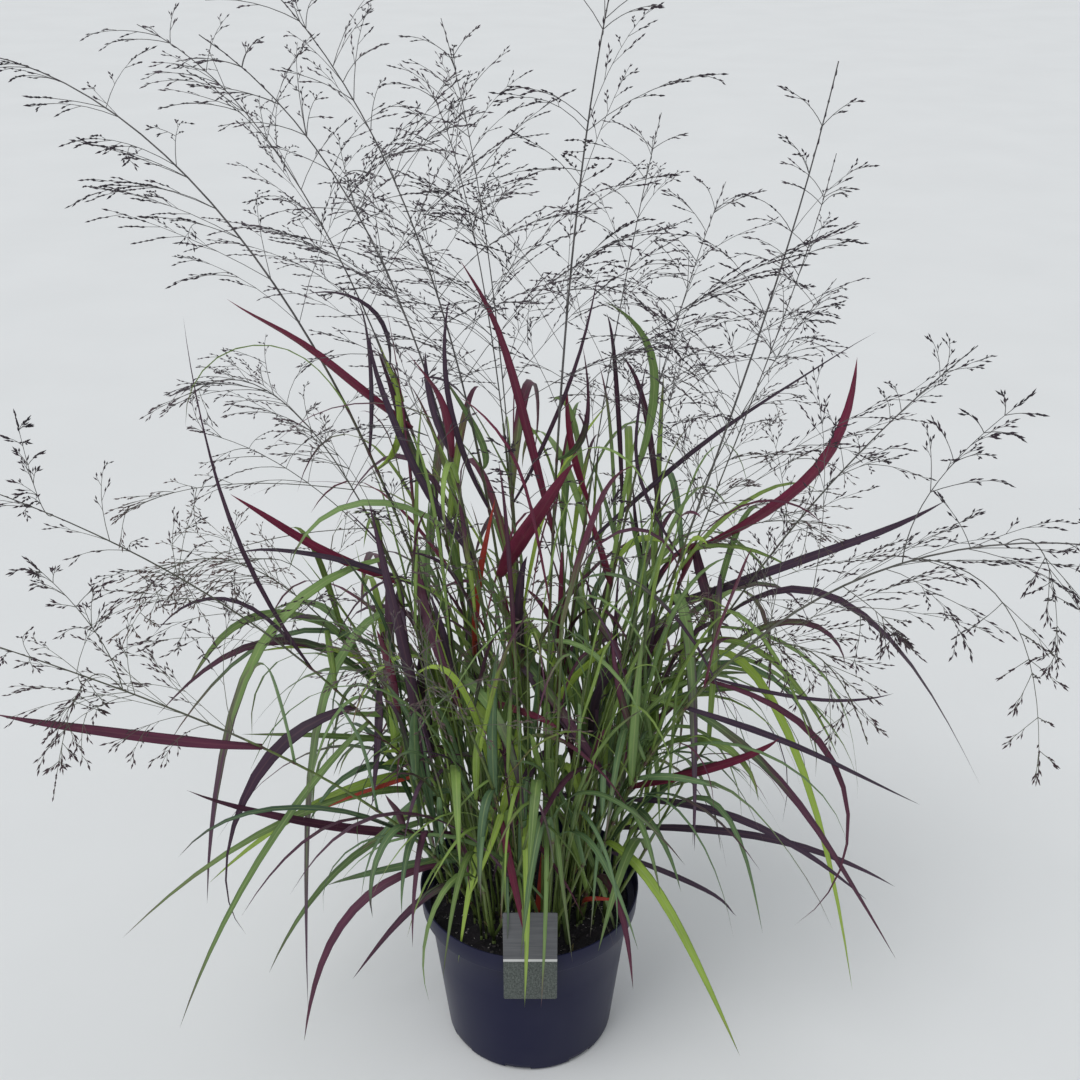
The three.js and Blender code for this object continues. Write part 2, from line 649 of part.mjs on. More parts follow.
// One spray, whose branches get shorter from whorl to whorl.
function sprayStrand({ curve, spray, long }, index) {
  const name = numbered("panicle", index);
  const random = draws(4000 + index);
  const aside = asideOf(curve);

  const twigFrom = (root, along, angle, spread, reach) =>
    placed(
      () => drawnTwig(random, root, along, angle + random(-spread, spread), reach * random(0.8, 1.2)),
      (twig) => roundBalls(twig, [0, TWIG.fork, 1], BALL.twig, name, NEAR.twig),
      name,
    );

  const sideOf = (primary, reach) => {
    const { at, along } = frameAt(primary, TWIG.fork, aside);
    const side = twigFrom(at, along, bearing(along), 1.6, TWIG.side * reach);
    return side && { curve: side, stations: twigStations(side, null) };
  };

  const stations = whorlStops(spray).map((t, w) => {
    const share = w / (SPRAY.whorls - 1);
    const { at, along } = frameAt(curve, t, aside);
    const forks = [];
    SPRAY.reaches.forEach((part, k) => {
      const reach = long * part * (1 - 0.72 * share);
      const primary = twigFrom(at, along, SPRAY.turn * w + SPRAY.apart * k, 0.6, reach);
      if (!primary) return;
      const side = w < SPRAY.forked ? sideOf(primary, reach) : null;
      forks.push({ curve: primary, stations: twigStations(primary, side) });
    });
    return { t, radius: THREE.MathUtils.lerp(SPRAY.foot, SPRAY.top, share), forks };
  });
  return { curve, stations };
}

// ---------------------------------------------------------------- pot, compost and label

const wallAt = (z) => THREE.MathUtils.mapLinear(z, 0, POT.height - POT.band, POT.foot, POT.neck);

function potSolid() {
  const shoulder = POT.height - POT.band;
  const profile = [
    [0, 0],
    [POT.foot - POT.chamfer, 0],
    [wallAt(POT.chamfer), POT.chamfer],
    [POT.neck, shoulder],
    [POT.bandFoot, shoulder],
    [POT.rim, POT.height],
    [POT.rim - POT.wall, POT.height],
    [POT.bandFoot - POT.wall, shoulder + POT.wall],
    [POT.neck - POT.wall, shoulder + POT.wall],
    [wallAt(POT.floor) - POT.wall, POT.floor],
    [0, POT.floor],
  ];
  let pot = solid(turned(profile, POT.sides));
  for (let k = 0; k < NOTCH.count; k += 1) {
    const box = new THREE.BoxGeometry(2 * NOTCH.depth, NOTCH.width, 2 * NOTCH.height);
    box.translate(POT.foot, 0, 0);
    box.rotateZ(NOTCH.first + (2 * Math.PI * k) / NOTCH.count);
    pot = pot.subtract(solid(box));
  }
  return pot;
}

function compostSolid() {
  const low = POT.floor + GAP;
  const inset = POT.wall + GAP;
  const profile = [
    [0, low],
    [wallAt(low) - inset, low],
    [wallAt(COMPOST.top) - inset, COMPOST.top],
    ...COMPOST.rings.map((radius) => [radius, COMPOST.top]),
    [0, COMPOST.top],
  ];
  const geometry = turned(profile, POT.sides);
  const places = geometry.attributes.position;
  for (let i = 0; i < places.count; i += 1) {
    const [x, y, z] = [places.getX(i), places.getY(i), places.getZ(i)];
    if (z < COMPOST.top - 1 || Math.hypot(x, y) > COMPOST.rings[0] + 0.5) continue;
    const lump = Math.sin(0.13 * x + 1.3) * Math.cos(0.17 * y) + Math.sin(0.31 * x - 0.27 * y);
    places.setZ(i, z + (COMPOST.lump * lump) / 2);
  }
  const feet = [...culms.map(({ curve }) => curve), ...tufts.map(({ shoots }) => shoots[0].curve)];
  return feet.reduce((compost, curve) => compost.subtract(holeSolid(curve)), solid(geometry));
}

function labelSolid() {
  const { width, height, corner } = CARD;
  const card = new THREE.Shape();
  card.absarc(width - corner, corner, corner, -Math.PI / 2, 0);
  card.absarc(width - corner, height - corner, corner, 0, Math.PI / 2);
  card.absarc(corner, height - corner, corner, Math.PI / 2, Math.PI);
  card.absarc(corner, corner, corner, Math.PI, 1.5 * Math.PI);
  const plate = new THREE.ExtrudeGeometry(card, { depth: CARD.thick, bevelEnabled: false, curveSegments: 3 });
  const back = -POT.rim - CARD.clear;
  plate.rotateX(Math.PI / 2).translate(CARD.left, back, CARD.foot);

  // The tongue runs from the card's back over the rim and down inside it, in the Y-Z plane.
  const top = POT.height + GAP + TONGUE.thick;
  const inner = -(POT.bandFoot - POT.wall) * Math.cos(Math.PI / POT.sides) + GAP;
  const corners = [
    [back - CARD.thick / 2, top - TONGUE.thick],
    [inner, top - TONGUE.thick],
    [inner, top - TONGUE.drop],
    [inner + TONGUE.thick, top - TONGUE.drop],
    [inner + TONGUE.thick, top],
    [back - CARD.thick / 2, top],
  ];
  const outline = new THREE.Shape(corners.map(([y, z]) => new THREE.Vector2(y, z)));
  const tongue = new THREE.ExtrudeGeometry(outline, { depth: TONGUE.width, bevelEnabled: false });
  const yzx = new THREE.Matrix4().set(0, 0, 1, 0, 1, 0, 0, 0, 0, 1, 0, 0, 0, 0, 0, 1);
  tongue.applyMatrix4(yzx).translate(CARD.left + (width - TONGUE.width) / 2, 0, 0);
  return solid(plate).add(solid(tongue));
}

// ---------------------------------------------------------------- plant nodes

const asForks = (leaves) => leaves.map(({ t, leaf }) => ({ t, strands: [leafStrand(leaf)] }));

function culmStrand({ curve, spray, leaves }) {
  return { curve, stations: stemStations(0, spray, asForks(leaves)), end: "flat" };
}

// The topmost leaf ends the shoot that bears it, and side shoots part from the first one's foot.
function shootStrand({ curve, leaves }, sideShoots) {
  const low = leaves.filter(({ t }) => t < 1);
  const top = leaves.find(({ t }) => t === 1);
  const forks = asForks(low);
  const sides = sideShoots.map((side) => shootStrand(side, []));
  if (sides.length) forks.push({ t: SHOOT.side, strands: sides });
  const stations = stemStations(0, 0.99, forks);
  return { curve, stations: sides.length ? stations : stations.slice(1), end: top && leafStrand(top.leaf) };
}

// A spray stands on its culm's flat top.
function spraySolid(culm, index) {
  const seat = frameAt(culm.curve, culm.spray, asideOf(culm.curve));
  const at = seat.at.addScaledVector(seat.along, GAP);
  return skinOf(sprayStrand(culm, index), triangle({ ...seat, at }, SPRAY.foot, 0)).shape;
}

// ---------------------------------------------------------------- the part

const finish = (color, roughness) => new THREE.MeshStandardMaterial({ color, roughness, metalness: 0 });
const BLACK_PLASTIC = finish(0x23262f, 0.45);
const PEAT = finish(0x1d1512, 1);
const GREY_CARD = finish(0x7c7b80, 0.5);
const GREENS = [finish(0x4e7a34, 0.55), finish(0x6f9a35, 0.55), finish(0x3f6650, 0.55)];
const BURGUNDY = finish(0x5a1528, 0.5);
const DARK_SPRAY = finish(0x4a3b46, 0.7);

const redLeaves = [];
const part = new THREE.Group();
part.name = "switchgrass_in_pot";
part.add(named("pot", potSolid(), BLACK_PLASTIC));
part.add(named("compost", compostSolid(), PEAT));
part.add(named("label", labelSolid(), GREY_CARD));
culms.forEach((culm, index) => {
  const { shape, apart } = skinOf(culmStrand(culm), sunkBase(culm.curve));
  part.add(named(culm.name, shape, GREENS[index % GREENS.length]));
  part.add(named(numbered("panicle", index), spraySolid(culm, index), DARK_SPRAY));
  redLeaves.push(...apart);
});
tufts.forEach(({ name, shoots }, index) => {
  const strand = shootStrand(shoots[0], shoots.slice(1));
  part.add(named(name, skinOf(strand, sunkBase(strand.curve)).shape, GREENS[(index + 1) % GREENS.length]));
});
redLeaves.forEach(({ fork, base }, index) => {
  part.add(named(numbered("red_leaf", index), skinOf(fork, base).shape, BURGUNDY));
});

export default part;
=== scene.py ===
"""Purple-leaved switchgrass in a black nursery pot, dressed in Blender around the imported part.

The file follows the potting: pot, compost, label, then the clump from its stems to its flower
sprays, and last the floor, lights and camera. Plant sizes are in millimetres, as the clump is
measured, and each piece is scaled to metres when it is finished.
"""
import math

import bmesh
import bpy
import numpy as np
from mathutils import Matrix, Vector, noise


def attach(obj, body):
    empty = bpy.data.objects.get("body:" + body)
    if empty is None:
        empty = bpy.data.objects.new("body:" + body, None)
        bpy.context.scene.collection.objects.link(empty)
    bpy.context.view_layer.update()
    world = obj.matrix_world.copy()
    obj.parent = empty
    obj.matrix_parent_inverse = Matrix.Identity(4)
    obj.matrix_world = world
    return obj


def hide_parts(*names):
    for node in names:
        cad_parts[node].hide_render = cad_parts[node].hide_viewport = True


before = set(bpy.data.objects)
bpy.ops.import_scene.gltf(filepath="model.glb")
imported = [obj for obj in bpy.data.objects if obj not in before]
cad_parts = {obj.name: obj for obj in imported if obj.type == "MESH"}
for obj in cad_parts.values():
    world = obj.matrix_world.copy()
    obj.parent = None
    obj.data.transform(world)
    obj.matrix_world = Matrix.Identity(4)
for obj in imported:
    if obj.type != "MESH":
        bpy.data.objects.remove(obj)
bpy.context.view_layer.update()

# ---------------------------------------------------------------- pot
# A five-litre round nursery pot of thin blown plastic, nearly black with a navy tint. A flared
# band stiffens the rim, and eight shallow notches round the foot let it drain. It is glossy
# It is glossy where it is clean and chalky where dust and handling have dulled it, and its rim band is
# painted lighter, a painted sheen.

POT_HEIGHT = 180
POT_RIM = 112.5
POT_NECK = 104
POT_FOOT = 87
POT_SHOULDER = 158  # where the flared band starts
POT_STEP = 7  # how far the band steps out from the neck
POT_WALL = 1.8
POT_FLOOR = 7
POT_SIDES = 128
NOTCHES = 8
NOTCH_WIDTH = 27
NOTCH_DEPTH = 5
FIRST_NOTCH = math.radians(-98)
CLEAN_BLACK = (0.009, 0.010, 0.040)
# The lighter tint is dust, and on the rim band it is a painted sheen.
DUST_AND_SHEEN_BLACK = (0.024, 0.025, 0.054)


def fill_sockets(tree, node, inputs):
    """Gives a node's inputs their plain values, or links them to the outputs of other nodes."""
    for name, value in inputs.items():
        socket = node.inputs[name]
        if isinstance(value, bpy.types.NodeSocket):
            tree.links.new(value, socket)
        elif socket.type == "RGBA":
            socket.default_value = (*value, 1)
        else:
            socket.default_value = value


def add_node(tree, kind, inputs, **settings):
    made = tree.nodes.new(kind)
    for setting, value in settings.items():
        setattr(made, setting, value)
    fill_sockets(tree, made, inputs)
    return made


def new_finish(name):
    """A material that is still plain, its nodes, its Principled shader and Object coordinates."""
    finish = bpy.data.materials.new(name)
    finish.use_nodes = True
    tree = finish.node_tree
    where = tree.nodes.new("ShaderNodeTexCoord").outputs["Object"]
    return finish, tree, tree.nodes["Principled BSDF"], where


def blend_colours(tree, share, first, second):
    mixed = add_node(tree, "ShaderNodeMix", {0: share, 6: first, 7: second}, data_type="RGBA")
    return mixed.outputs[2]


def span(tree, value, low, high, to_low=0.0, to_high=1.0, smooth=False):
    """Maps a value from one span to another, held at both ends."""
    kind = "SMOOTHSTEP" if smooth else "LINEAR"
    inputs = {0: value, 1: low, 2: high, 3: to_low, 4: to_high}
    return add_node(tree, "ShaderNodeMapRange", inputs, interpolation_type=kind).outputs[0]


def sums(tree, operation, first, second=0.0):
    """The outcome of a sum, a product or another operation on one or two values."""
    return add_node(tree, "ShaderNodeMath", {0: first, 1: second}, operation=operation).outputs[0]


def speckle(tree, where, scale, detail, roughness=0.5):
    """Noise between 0 and 1."""
    inputs = {"Vector": where, "Scale": scale, "Detail": detail, "Roughness": roughness}
    return add_node(tree, "ShaderNodeTexNoise", inputs).outputs[0]


def stretched(tree, where, by):
    """Coordinates that draw a pattern out along the axes where they are scaled least."""
    return add_node(tree, "ShaderNodeMapping", {"Vector": where, "Scale": by}).outputs[0]


def height_of(tree, where):
    """Metres above the ground."""
    return add_node(tree, "ShaderNodeSeparateXYZ", {0: where}).outputs[2]


def relief(tree, height, strength, distance):
    """A normal for bumps of a height in metres."""
    inputs = {"Height": height, "Strength": strength, "Distance": distance}
    return add_node(tree, "ShaderNodeBump", inputs).outputs[0]


def finished(name, bm, finishes, nodes=(), slot=None, smooth=True):
    """Makes a piece of a bmesh in millimetres, standing in for the named nodes."""
    bmesh.ops.scale(bm, vec=(0.001, 0.001, 0.001), verts=bm.verts)
    if bm.calc_volume(signed=True) < 0:
        bmesh.ops.reverse_faces(bm, faces=bm.faces)
    for face in bm.faces:
        face.smooth = smooth
    mesh = bpy.data.meshes.new(name)
    bm.to_mesh(mesh)
    bm.free()
    for finish in finishes:
        mesh.materials.append(finish)
    made = bpy.data.objects.new(name, mesh)
    bpy.context.scene.collection.objects.link(made)
    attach(made, "root")
    if nodes:
        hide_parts(*nodes)
    return made


def spun(bm, profile, steps):
    """Turns a profile of radius and height round the Z axis."""
    row = [bm.verts.new((radius, 0, height)) for radius, height in profile]
    edges = [bm.edges.new(pair) for pair in zip(row, row[1:])]
    bmesh.ops.spin(
        bm, geom=row + edges, cent=(0, 0, 0), axis=(0, 0, 1), angle=2 * math.pi, steps=steps, use_merge=True
    )
    bmesh.ops.remove_doubles(bm, verts=bm.verts, dist=0.001)
    bmesh.ops.recalc_face_normals(bm, faces=bm.faces)


def bevel_corners(bm, angle, offset, segments):
    """Rounds every edge that turns by more than an angle in radians."""
    sharp = [edge for edge in bm.edges if edge.is_manifold and edge.calc_face_angle(0) > angle]
    bmesh.ops.bevel(
        bm, geom=sharp, offset=offset, segments=segments, profile=0.5, affect="EDGES", material=-1
    )


def black_plastic():
    """Black plastic with clouds of dust, more of it at the foot, and a painted sheen that lightens the rim
    band.
    """
    finish, tree, shader, where = new_finish("black_moulded_plastic")
    cloud = speckle(tree, where, 9, 4)
    streak = speckle(tree, stretched(tree, where, (60, 60, 3)), 1, 3)
    grit = speckle(tree, where, 900, 1)
    height = height_of(tree, where)
    # The rim band is painted lighter, a painted sheen, while the clouds and the foot are dust.
    band = span(tree, height, 0.157, 0.162, 0.0, 0.45)
    foot = span(tree, height, 0.035, 0.0, 0.0, 0.35)
    dust_and_sheen = sums(tree, "ADD", sums(tree, "ADD", span(tree, cloud, 0.42, 0.72), band), foot)
    dust_and_sheen = sums(tree, "MULTIPLY", dust_and_sheen, span(tree, streak, 0.3, 0.7, 0.7, 1.0))
    dust_and_sheen_share = span(tree, dust_and_sheen, 0.0, 1.3)
    bumps = sums(tree, "ADD", sums(tree, "MULTIPLY", grit, 0.25), sums(tree, "MULTIPLY", streak, 0.4))
    surface = {
        "Base Color": blend_colours(tree, dust_and_sheen_share, CLEAN_BLACK, DUST_AND_SHEEN_BLACK),
        "Roughness": span(tree, dust_and_sheen, 0.0, 1.2, 0.30, 0.48),
        "Normal": relief(tree, bumps, 0.12, 0.0004),
        "Specular IOR Level": 0.15,
    }
    fill_sockets(tree, shader, surface)
    return finish


def pot_wall_at(height):
    """The outer radius of the pot below its band."""
    return POT_FOOT + (POT_NECK - POT_FOOT) * height / POT_SHOULDER


# A few rings on the way up the wall keep its faces short.
outside = [(0, 0), (POT_FOOT - 3, 0)] + [(pot_wall_at(height), height) for height in (3, 9, 60, 110)]
band = [
    (POT_NECK, POT_SHOULDER),
    (POT_NECK + POT_STEP, POT_SHOULDER),
    (POT_RIM, POT_HEIGHT),
    (POT_RIM - POT_WALL, POT_HEIGHT),
    (POT_NECK + POT_STEP - POT_WALL, POT_SHOULDER + POT_WALL),
    (POT_NECK - POT_WALL, POT_SHOULDER + POT_WALL),
]
inside = [(pot_wall_at(POT_FLOOR) - POT_WALL, POT_FLOOR), (0, POT_FLOOR)]
bm = bmesh.new()
spun(bm, outside + band + inside, POT_SIDES)
bevel_corners(bm, angle=0.5, offset=0.7, segments=3)
pot = finished("nursery_pot", bm, [black_plastic()], ["pot"], "pot_plastic")

# Each notch is cut by a box centred on the pot's lower edge.
bm = bmesh.new()
for k in range(NOTCHES):
    turn = Matrix.Rotation(FIRST_NOTCH + 2 * math.pi * k / NOTCHES, 4, "Z")
    shape = Matrix.Diagonal((0.002 * NOTCH_DEPTH, 0.001 * NOTCH_WIDTH, 0.002 * NOTCH_DEPTH, 1))
    bmesh.ops.create_cube(bm, size=1, matrix=turn @ Matrix.Translation((0.001 * POT_FOOT, 0, 0)) @ shape)
cutter_mesh = bpy.data.meshes.new("notches")
bm.to_mesh(cutter_mesh)
bm.free()
cutter = bpy.data.objects.new("notches", cutter_mesh)
bpy.context.scene.collection.objects.link(cutter)
cut = pot.modifiers.new("notches", "BOOLEAN")
cut.operation = "DIFFERENCE"
cut.object = cutter
whole = bpy.data.meshes.new_from_object(pot.evaluated_get(bpy.context.evaluated_depsgraph_get()))
pot.modifiers.clear()
pot.data = whole
bpy.data.objects.remove(cutter)

# ---------------------------------------------------------------- compost
# Dark peat compost, filled to a finger's width below the rim. Its surface is lumpy, with crumbs
# of peat, slivers of bark and a few pale flecks of wood and perlite lying loose on it.

COMPOST_TOP = 156
COMPOST_EDGE = 102
COMPOST_SIDES = 150
RINGS = 44
RING_GAP = 2.3
CRUMBS = 800
DAMP_PEAT = (0.006, 0.005, 0.008)
DRY_PEAT = (0.019, 0.014, 0.019)
# The lighter tint on the grain's peaks is a painted glint, a painted highlight.
PEAT_GLINT = (0.075, 0.060, 0.060)
PALE_WOOD = (0.75, 0.70, 0.68)


def node_group(name, inputs, outputs):
    """An empty node group with named sockets, and those sockets from its inside."""
    group = bpy.data.node_groups.new(name, "ShaderNodeTree")
    for side, sockets in (("INPUT", inputs), ("OUTPUT", outputs)):
        for socket, kind in sockets.items():
            group.interface.new_socket(socket, in_out=side, socket_type=f"NodeSocket{kind}")
    given = group.nodes.new("NodeGroupInput").outputs
    result = group.nodes.new("NodeGroupOutput").inputs
    return group, given, result


def mottling():
    """Soft patches between two tints: compost, card, stems, sprays and floor all have them."""
    numbers = {name: "Float" for name in ("Scale", "Detail", "Grain", "From", "To")}
    inputs = {"Where": "Vector", **numbers, "Dark": "Color", "Light": "Color"}
    group, given, result = node_group("Mottling", inputs, {"Tint": "Color", "Noise": "Float"})
    value = speckle(group, given["Where"], given["Scale"], given["Detail"], given["Grain"])
    share = span(group, value, given["From"], given["To"])
    group.links.new(blend_colours(group, share, given["Dark"], given["Light"]), result["Tint"])
    group.links.new(value, result["Noise"])
    return group


MOTTLING = mottling()


def mottled(tree, where, scale, detail, between, tints, grain=0.5):
    """Places the mottling in a material, and gives its tint and the noise behind it."""
    inputs = {"Where": where, "Scale": scale, "Detail": detail, "Grain": grain}
    inputs.update({"From": between[0], "To": between[1], "Dark": tints[0], "Light": tints[1]})
    made = add_node(tree, "ShaderNodeGroup", inputs, node_tree=MOTTLING)
    return made.outputs["Tint"], made.outputs["Noise"]


def attribute(tree, name):
    """A number that each vertex carries."""
    return add_node(tree, "ShaderNodeAttribute", {}, attribute_name=name).outputs["Fac"]


def lump_at(x, y):
    """The height of the compost's surface above its mean."""
    broad = math.sin(0.13 * x + 1.3) * math.cos(0.17 * y) + math.sin(0.31 * x - 0.27 * y)
    fine = noise.fractal(Vector((x, y, 0)) * 0.09, 1.0, 2.0, 4)
    return 1.25 * broad + 2.2 * fine


def draws(seed):
    """Evenly spread draws between two limits, the same for the same seed."""
    modulus = 2147483647
    state = (seed * 7919 + 104729) % modulus
    state = state * 16807 % modulus
    state = state * 16807 % modulus

    def draw(low, high):
        nonlocal state
        state = state * 16807 % modulus
        return low + (high - low) * (state / modulus)

    return draw


def peat():
    """Patchy peat with painted glints on the peaks of its grain, and pale wood where a crumb is a fleck."""
    finish, tree, shader, where = new_finish("peat_compost")
    grain = speckle(tree, where, 420, 4, 0.7)
    peat_tint, patch = mottled(tree, where, 45, 3, (0.35, 0.7), (DAMP_PEAT, DRY_PEAT))
    # Painted highlight: the grain's peaks are lightened as glints.
    peat_tint = blend_colours(tree, span(tree, grain, 0.60, 0.72), peat_tint, PEAT_GLINT)
    bumps = sums(tree, "ADD", grain, sums(tree, "MULTIPLY", patch, 0.6))
    surface = {
        "Base Color": blend_colours(tree, attribute(tree, "fleck"), peat_tint, PALE_WOOD),
        "Roughness": span(tree, grain, 0.3, 0.7, 0.95, 0.7),
        "Normal": relief(tree, bumps, 0.7, 0.002),
    }
    fill_sockets(tree, shader, surface)
    return finish


bm = bmesh.new()
below = [(0, POT_FLOOR + 0.3), (85.5, POT_FLOOR + 0.3), (101.6, COMPOST_TOP - 3)]
rings = [(COMPOST_EDGE - RING_GAP * k, COMPOST_TOP) for k in range(RINGS)]
spun(bm, below + rings + [(0, COMPOST_TOP)], COMPOST_SIDES)
for vert in bm.verts:
    if vert.co.z > COMPOST_TOP - 1:
        fade = min(1, (COMPOST_EDGE + 0.5 - vert.co.xy.length) / 6)
        vert.co.z += fade * lump_at(vert.co.x, vert.co.y)
fleck = bm.verts.layers.float.new("fleck")
draw = draws(77)
for k in range(CRUMBS):
    out = 100 * math.sqrt(draw(0, 1))
    angle = draw(0, 2 * math.pi)
    x, y = out * math.cos(angle), out * math.sin(angle)
    pale = k % 4 == 0
    size = draw(0.6, 1.3) if pale else draw(0.7, 2.6)
    long = draw(1.0, 2.8)
    tilt = Matrix.Rotation(draw(0, 6.3), 4, "Z") @ Matrix.Rotation(draw(-0.5, 0.5), 4, "X")
    place = Matrix.Translation((x, y, COMPOST_TOP + lump_at(x, y) + 0.3 * size)) @ tilt
    shape = Matrix.Diagonal((long * size, size, 0.6 * size, 1))
    made = bmesh.ops.create_icosphere(bm, subdivisions=1, radius=0.6, matrix=place @ shape)
    for vert in made["verts"]:
        vert.co += Vector((draw(-0.2, 0.2), draw(-0.2, 0.2), draw(-0.2, 0.2))) * size
        vert[fleck] = draw(0.5, 1.0) if pale else draw(0.0, 0.16)
finished("compost_surface", bm, [peat()], ["compost"], "compost")

# ---------------------------------------------------------------- label
# A printed plastic card on a tongue that hooks over the rim. It is left blank: a smooth grey
# upper field, a pale stripe across the middle and a darker, finely grained lower field.

CARD_LEFT = -24.4
CARD_WIDTH = 52
CARD_FOOT = 129
CARD_HEIGHT = 110
CARD_THICK = 1
CARD_FRONT = -POT_RIM - 1.6
TONGUE_WIDTH = 14
TONGUE_DROP = 16  # how far the tongue reaches down inside the rim
TONGUE_THICK = 1.2
UPPER_FIELD = ((0.075, 0.077, 0.084), (0.120, 0.122, 0.130))
LOWER_FIELD = ((0.024, 0.032, 0.028), (0.115, 0.135, 0.118))
STRIPE = (0.62, 0.62, 0.60)
STRIPE_FOOT = 0.1775  # in metres above the ground, and the next two as well
STRIPE_TOP = 0.1812
STRIPE_BLUR = 0.0005


def printed_card():
    """Satin print: brushed across in the upper field, and grained in the lower one."""
    finish, tree, shader, where = new_finish("printed_card")
    height = height_of(tree, where)
    upper, _ = mottled(tree, stretched(tree, where, (25, 25, 500)), 1, 2, (0.3, 0.7), UPPER_FIELD)
    lower, _ = mottled(tree, stretched(tree, where, (700, 420, 380)), 1, 5, (0.40, 0.64), LOWER_FIELD, 0.7)
    fields = blend_colours(tree, span(tree, height, 0.1800, 0.1805), lower, upper)
    above_foot = span(tree, height, STRIPE_FOOT, STRIPE_FOOT + STRIPE_BLUR)
    below_top = span(tree, height, STRIPE_TOP, STRIPE_TOP - STRIPE_BLUR)
    scuff = speckle(tree, where, 120, 3)
    surface = {
        "Base Color": blend_colours(tree, sums(tree, "MULTIPLY", above_foot, below_top), fields, STRIPE),
        "Roughness": span(tree, scuff, 0.35, 0.7, 0.28, 0.48),
        "Normal": relief(tree, scuff, 0.05, 0.0003),
        "Coat Weight": 0.2,
        "Coat Roughness": 0.15,
    }
    fill_sockets(tree, shader, surface)
    return finish


def thickened(bm, faces, by):
    """Gives flat faces a thickness."""
    made = bmesh.ops.extrude_face_region(bm, geom=faces)
    moved = [item for item in made["geom"] if isinstance(item, bmesh.types.BMVert)]
    bmesh.ops.translate(bm, vec=by, verts=moved)
    bmesh.ops.recalc_face_normals(bm, faces=bm.faces)


bm = bmesh.new()
back = CARD_FRONT + CARD_THICK
corners = [
    bm.verts.new((CARD_LEFT + x, CARD_FRONT, CARD_FOOT + z))
    for x, z in [(0, 0), (CARD_WIDTH, 0), (CARD_WIDTH, CARD_HEIGHT), (0, CARD_HEIGHT)]
]
bm.faces.new(corners)
bmesh.ops.bevel(bm, geom=corners, offset=2, segments=6, profile=0.5, affect="VERTICES", material=-1)
thickened(bm, bm.faces[:], (0, CARD_THICK, 0))
bevel_corners(bm, angle=1.0, offset=0.18, segments=2)
inner = -(POT_NECK + POT_STEP - POT_WALL) * math.cos(math.pi / 32) + 0.3
top = POT_HEIGHT + 1.5
tongue = [
    (back - 0.5, top - TONGUE_THICK),
    (inner, top - TONGUE_THICK),
    (inner, top - TONGUE_DROP),
    (inner + TONGUE_THICK, top - TONGUE_DROP),
    (inner + TONGUE_THICK, top),
    (back - 0.5, top),
]
side = CARD_LEFT + (CARD_WIDTH - TONGUE_WIDTH) / 2
tongue_face = bm.faces.new([bm.verts.new((side, y, z)) for y, z in tongue])
thickened(bm, [tongue_face], (TONGUE_WIDTH, 0, 0))
finished("rim_label", bm, [printed_card()], ["label"], "label_card", smooth=False)

# ---------------------------------------------------------------- how the clump grows
# Each stem, leaf and branch follows a curve. Twenty flowering stems and forty-five marked leaves are given
# one by one, and the others are drawn one after another, each where it finds room. The order of the draws
# and the room that each takes are the same as in the imported part, so that every finer piece stands where
# its node is.

UP = np.array((0.0, 0.0, 1.0))


def heading(angle):
    return np.array((math.cos(angle), math.sin(angle), 0.0))


def bearing(way):
    return math.atan2(way[1], way[0])


def unit(ways):
    return ways / np.sqrt((ways * ways).sum(axis=-1, keepdims=True))


class Curve:
    """A Bezier curve. Its methods take one place t or an array of them."""

    def __init__(self, *controls):
        self.controls = [np.array(control, float) for control in controls]

    def at(self, t):
        t = np.asarray(t, float)[..., None]
        k = 1 - t
        if len(self.controls) == 3:
            a, b, c = self.controls
            return k * k * a + 2 * k * t * b + t * t * c
        a, b, c, d = self.controls
        return k * k * k * a + 3 * k * k * t * b + 3 * k * t * t * c + t * t * t * d

    def along(self, t):
        low = np.clip(np.asarray(t, float) - 0.0001, 0, 1)
        high = np.clip(np.asarray(t, float) + 0.0001, 0, 1)
        return unit(self.at(high) - self.at(low))

    def frame(self, t, aside):
        """Where it is, the way it runs, and the way across it that is nearest to `aside`."""
        along = self.along(t)
        across = unit(aside - along * (along @ aside)[..., None])
        return self.at(t), along, across

    def aside(self):
        """Level, and square to the whole reach."""
        return heading(bearing(self.controls[-1] - self.controls[0]) + math.pi / 2)


def arch_through(root, middle, tip):
    root, middle, tip = (np.array(point, float) for point in (root, middle, tip))
    return Curve(root, 2 * middle - 0.5 * root - 0.5 * tip, tip)


def stem_curve(foot, knee, tip):
    """Upright at first, leaning to its knee, and on to its tip."""
    low = np.array((foot[0], foot[1], COMPOST_TOP + 6.0))
    lift = low + (np.array(knee, float) - low) * (0.25, 0.25, 0.5)
    return Curve(low, lift, knee, tip)


BLADE_STOPS = (0, 0.1, 0.36, 0.62, 0.84, 1)
ROOT_NEAR = 14  # how far from its root a leaf may touch its own stem
BALL_GAP = 4.5  # the farthest that two balls along a strand stand apart
CLEARANCE = 1.5  # kept from the ground, the pot and the label
LUMP_HEIGHT = 2.5  # allowed for above the compost's mean
TONGUE_REACH = 6.2  # from the rim's outside to just past the tongue
TRIES = 40
CELL = 8
taken = {}  # the balls that each cell of space holds: centre, radius, owner, whether by its root


def blade_share(t):
    """A blade's width at t, narrow at its root and ending in a long point."""
    return np.minimum(1, 0.55 + 1.8 * t) * (1 - t**2.5)


def places_along(curve, stops):
    """Places a few millimetres apart on the straight stretches between the stops."""
    points = curve.at(stops)
    at, walked, t = [], [], []
    gone = 0.0
    for i in range(1, len(stops)):
        way = points[i] - points[i - 1]
        long = math.sqrt(way @ way)
        count = math.ceil(long / BALL_GAP)
        share = np.arange(1, count + 1) / count
        at.append(points[i - 1] + share[:, None] * way)
        walked.append(gone + share * long)
        t.append(stops[i - 1] + share * (stops[i] - stops[i - 1]))
        gone += long
    return np.concatenate(at), np.concatenate(walked), np.concatenate(t)


def round_balls(curve, stops, radius, owner, near=0):
    """Balls along a stem or branch. Those nearer its root than `near` may touch its own family."""
    at, walked, _ = places_along(curve, stops)
    return [(tuple(place), radius, owner, far < near) for place, far in zip(at.tolist(), walked)]


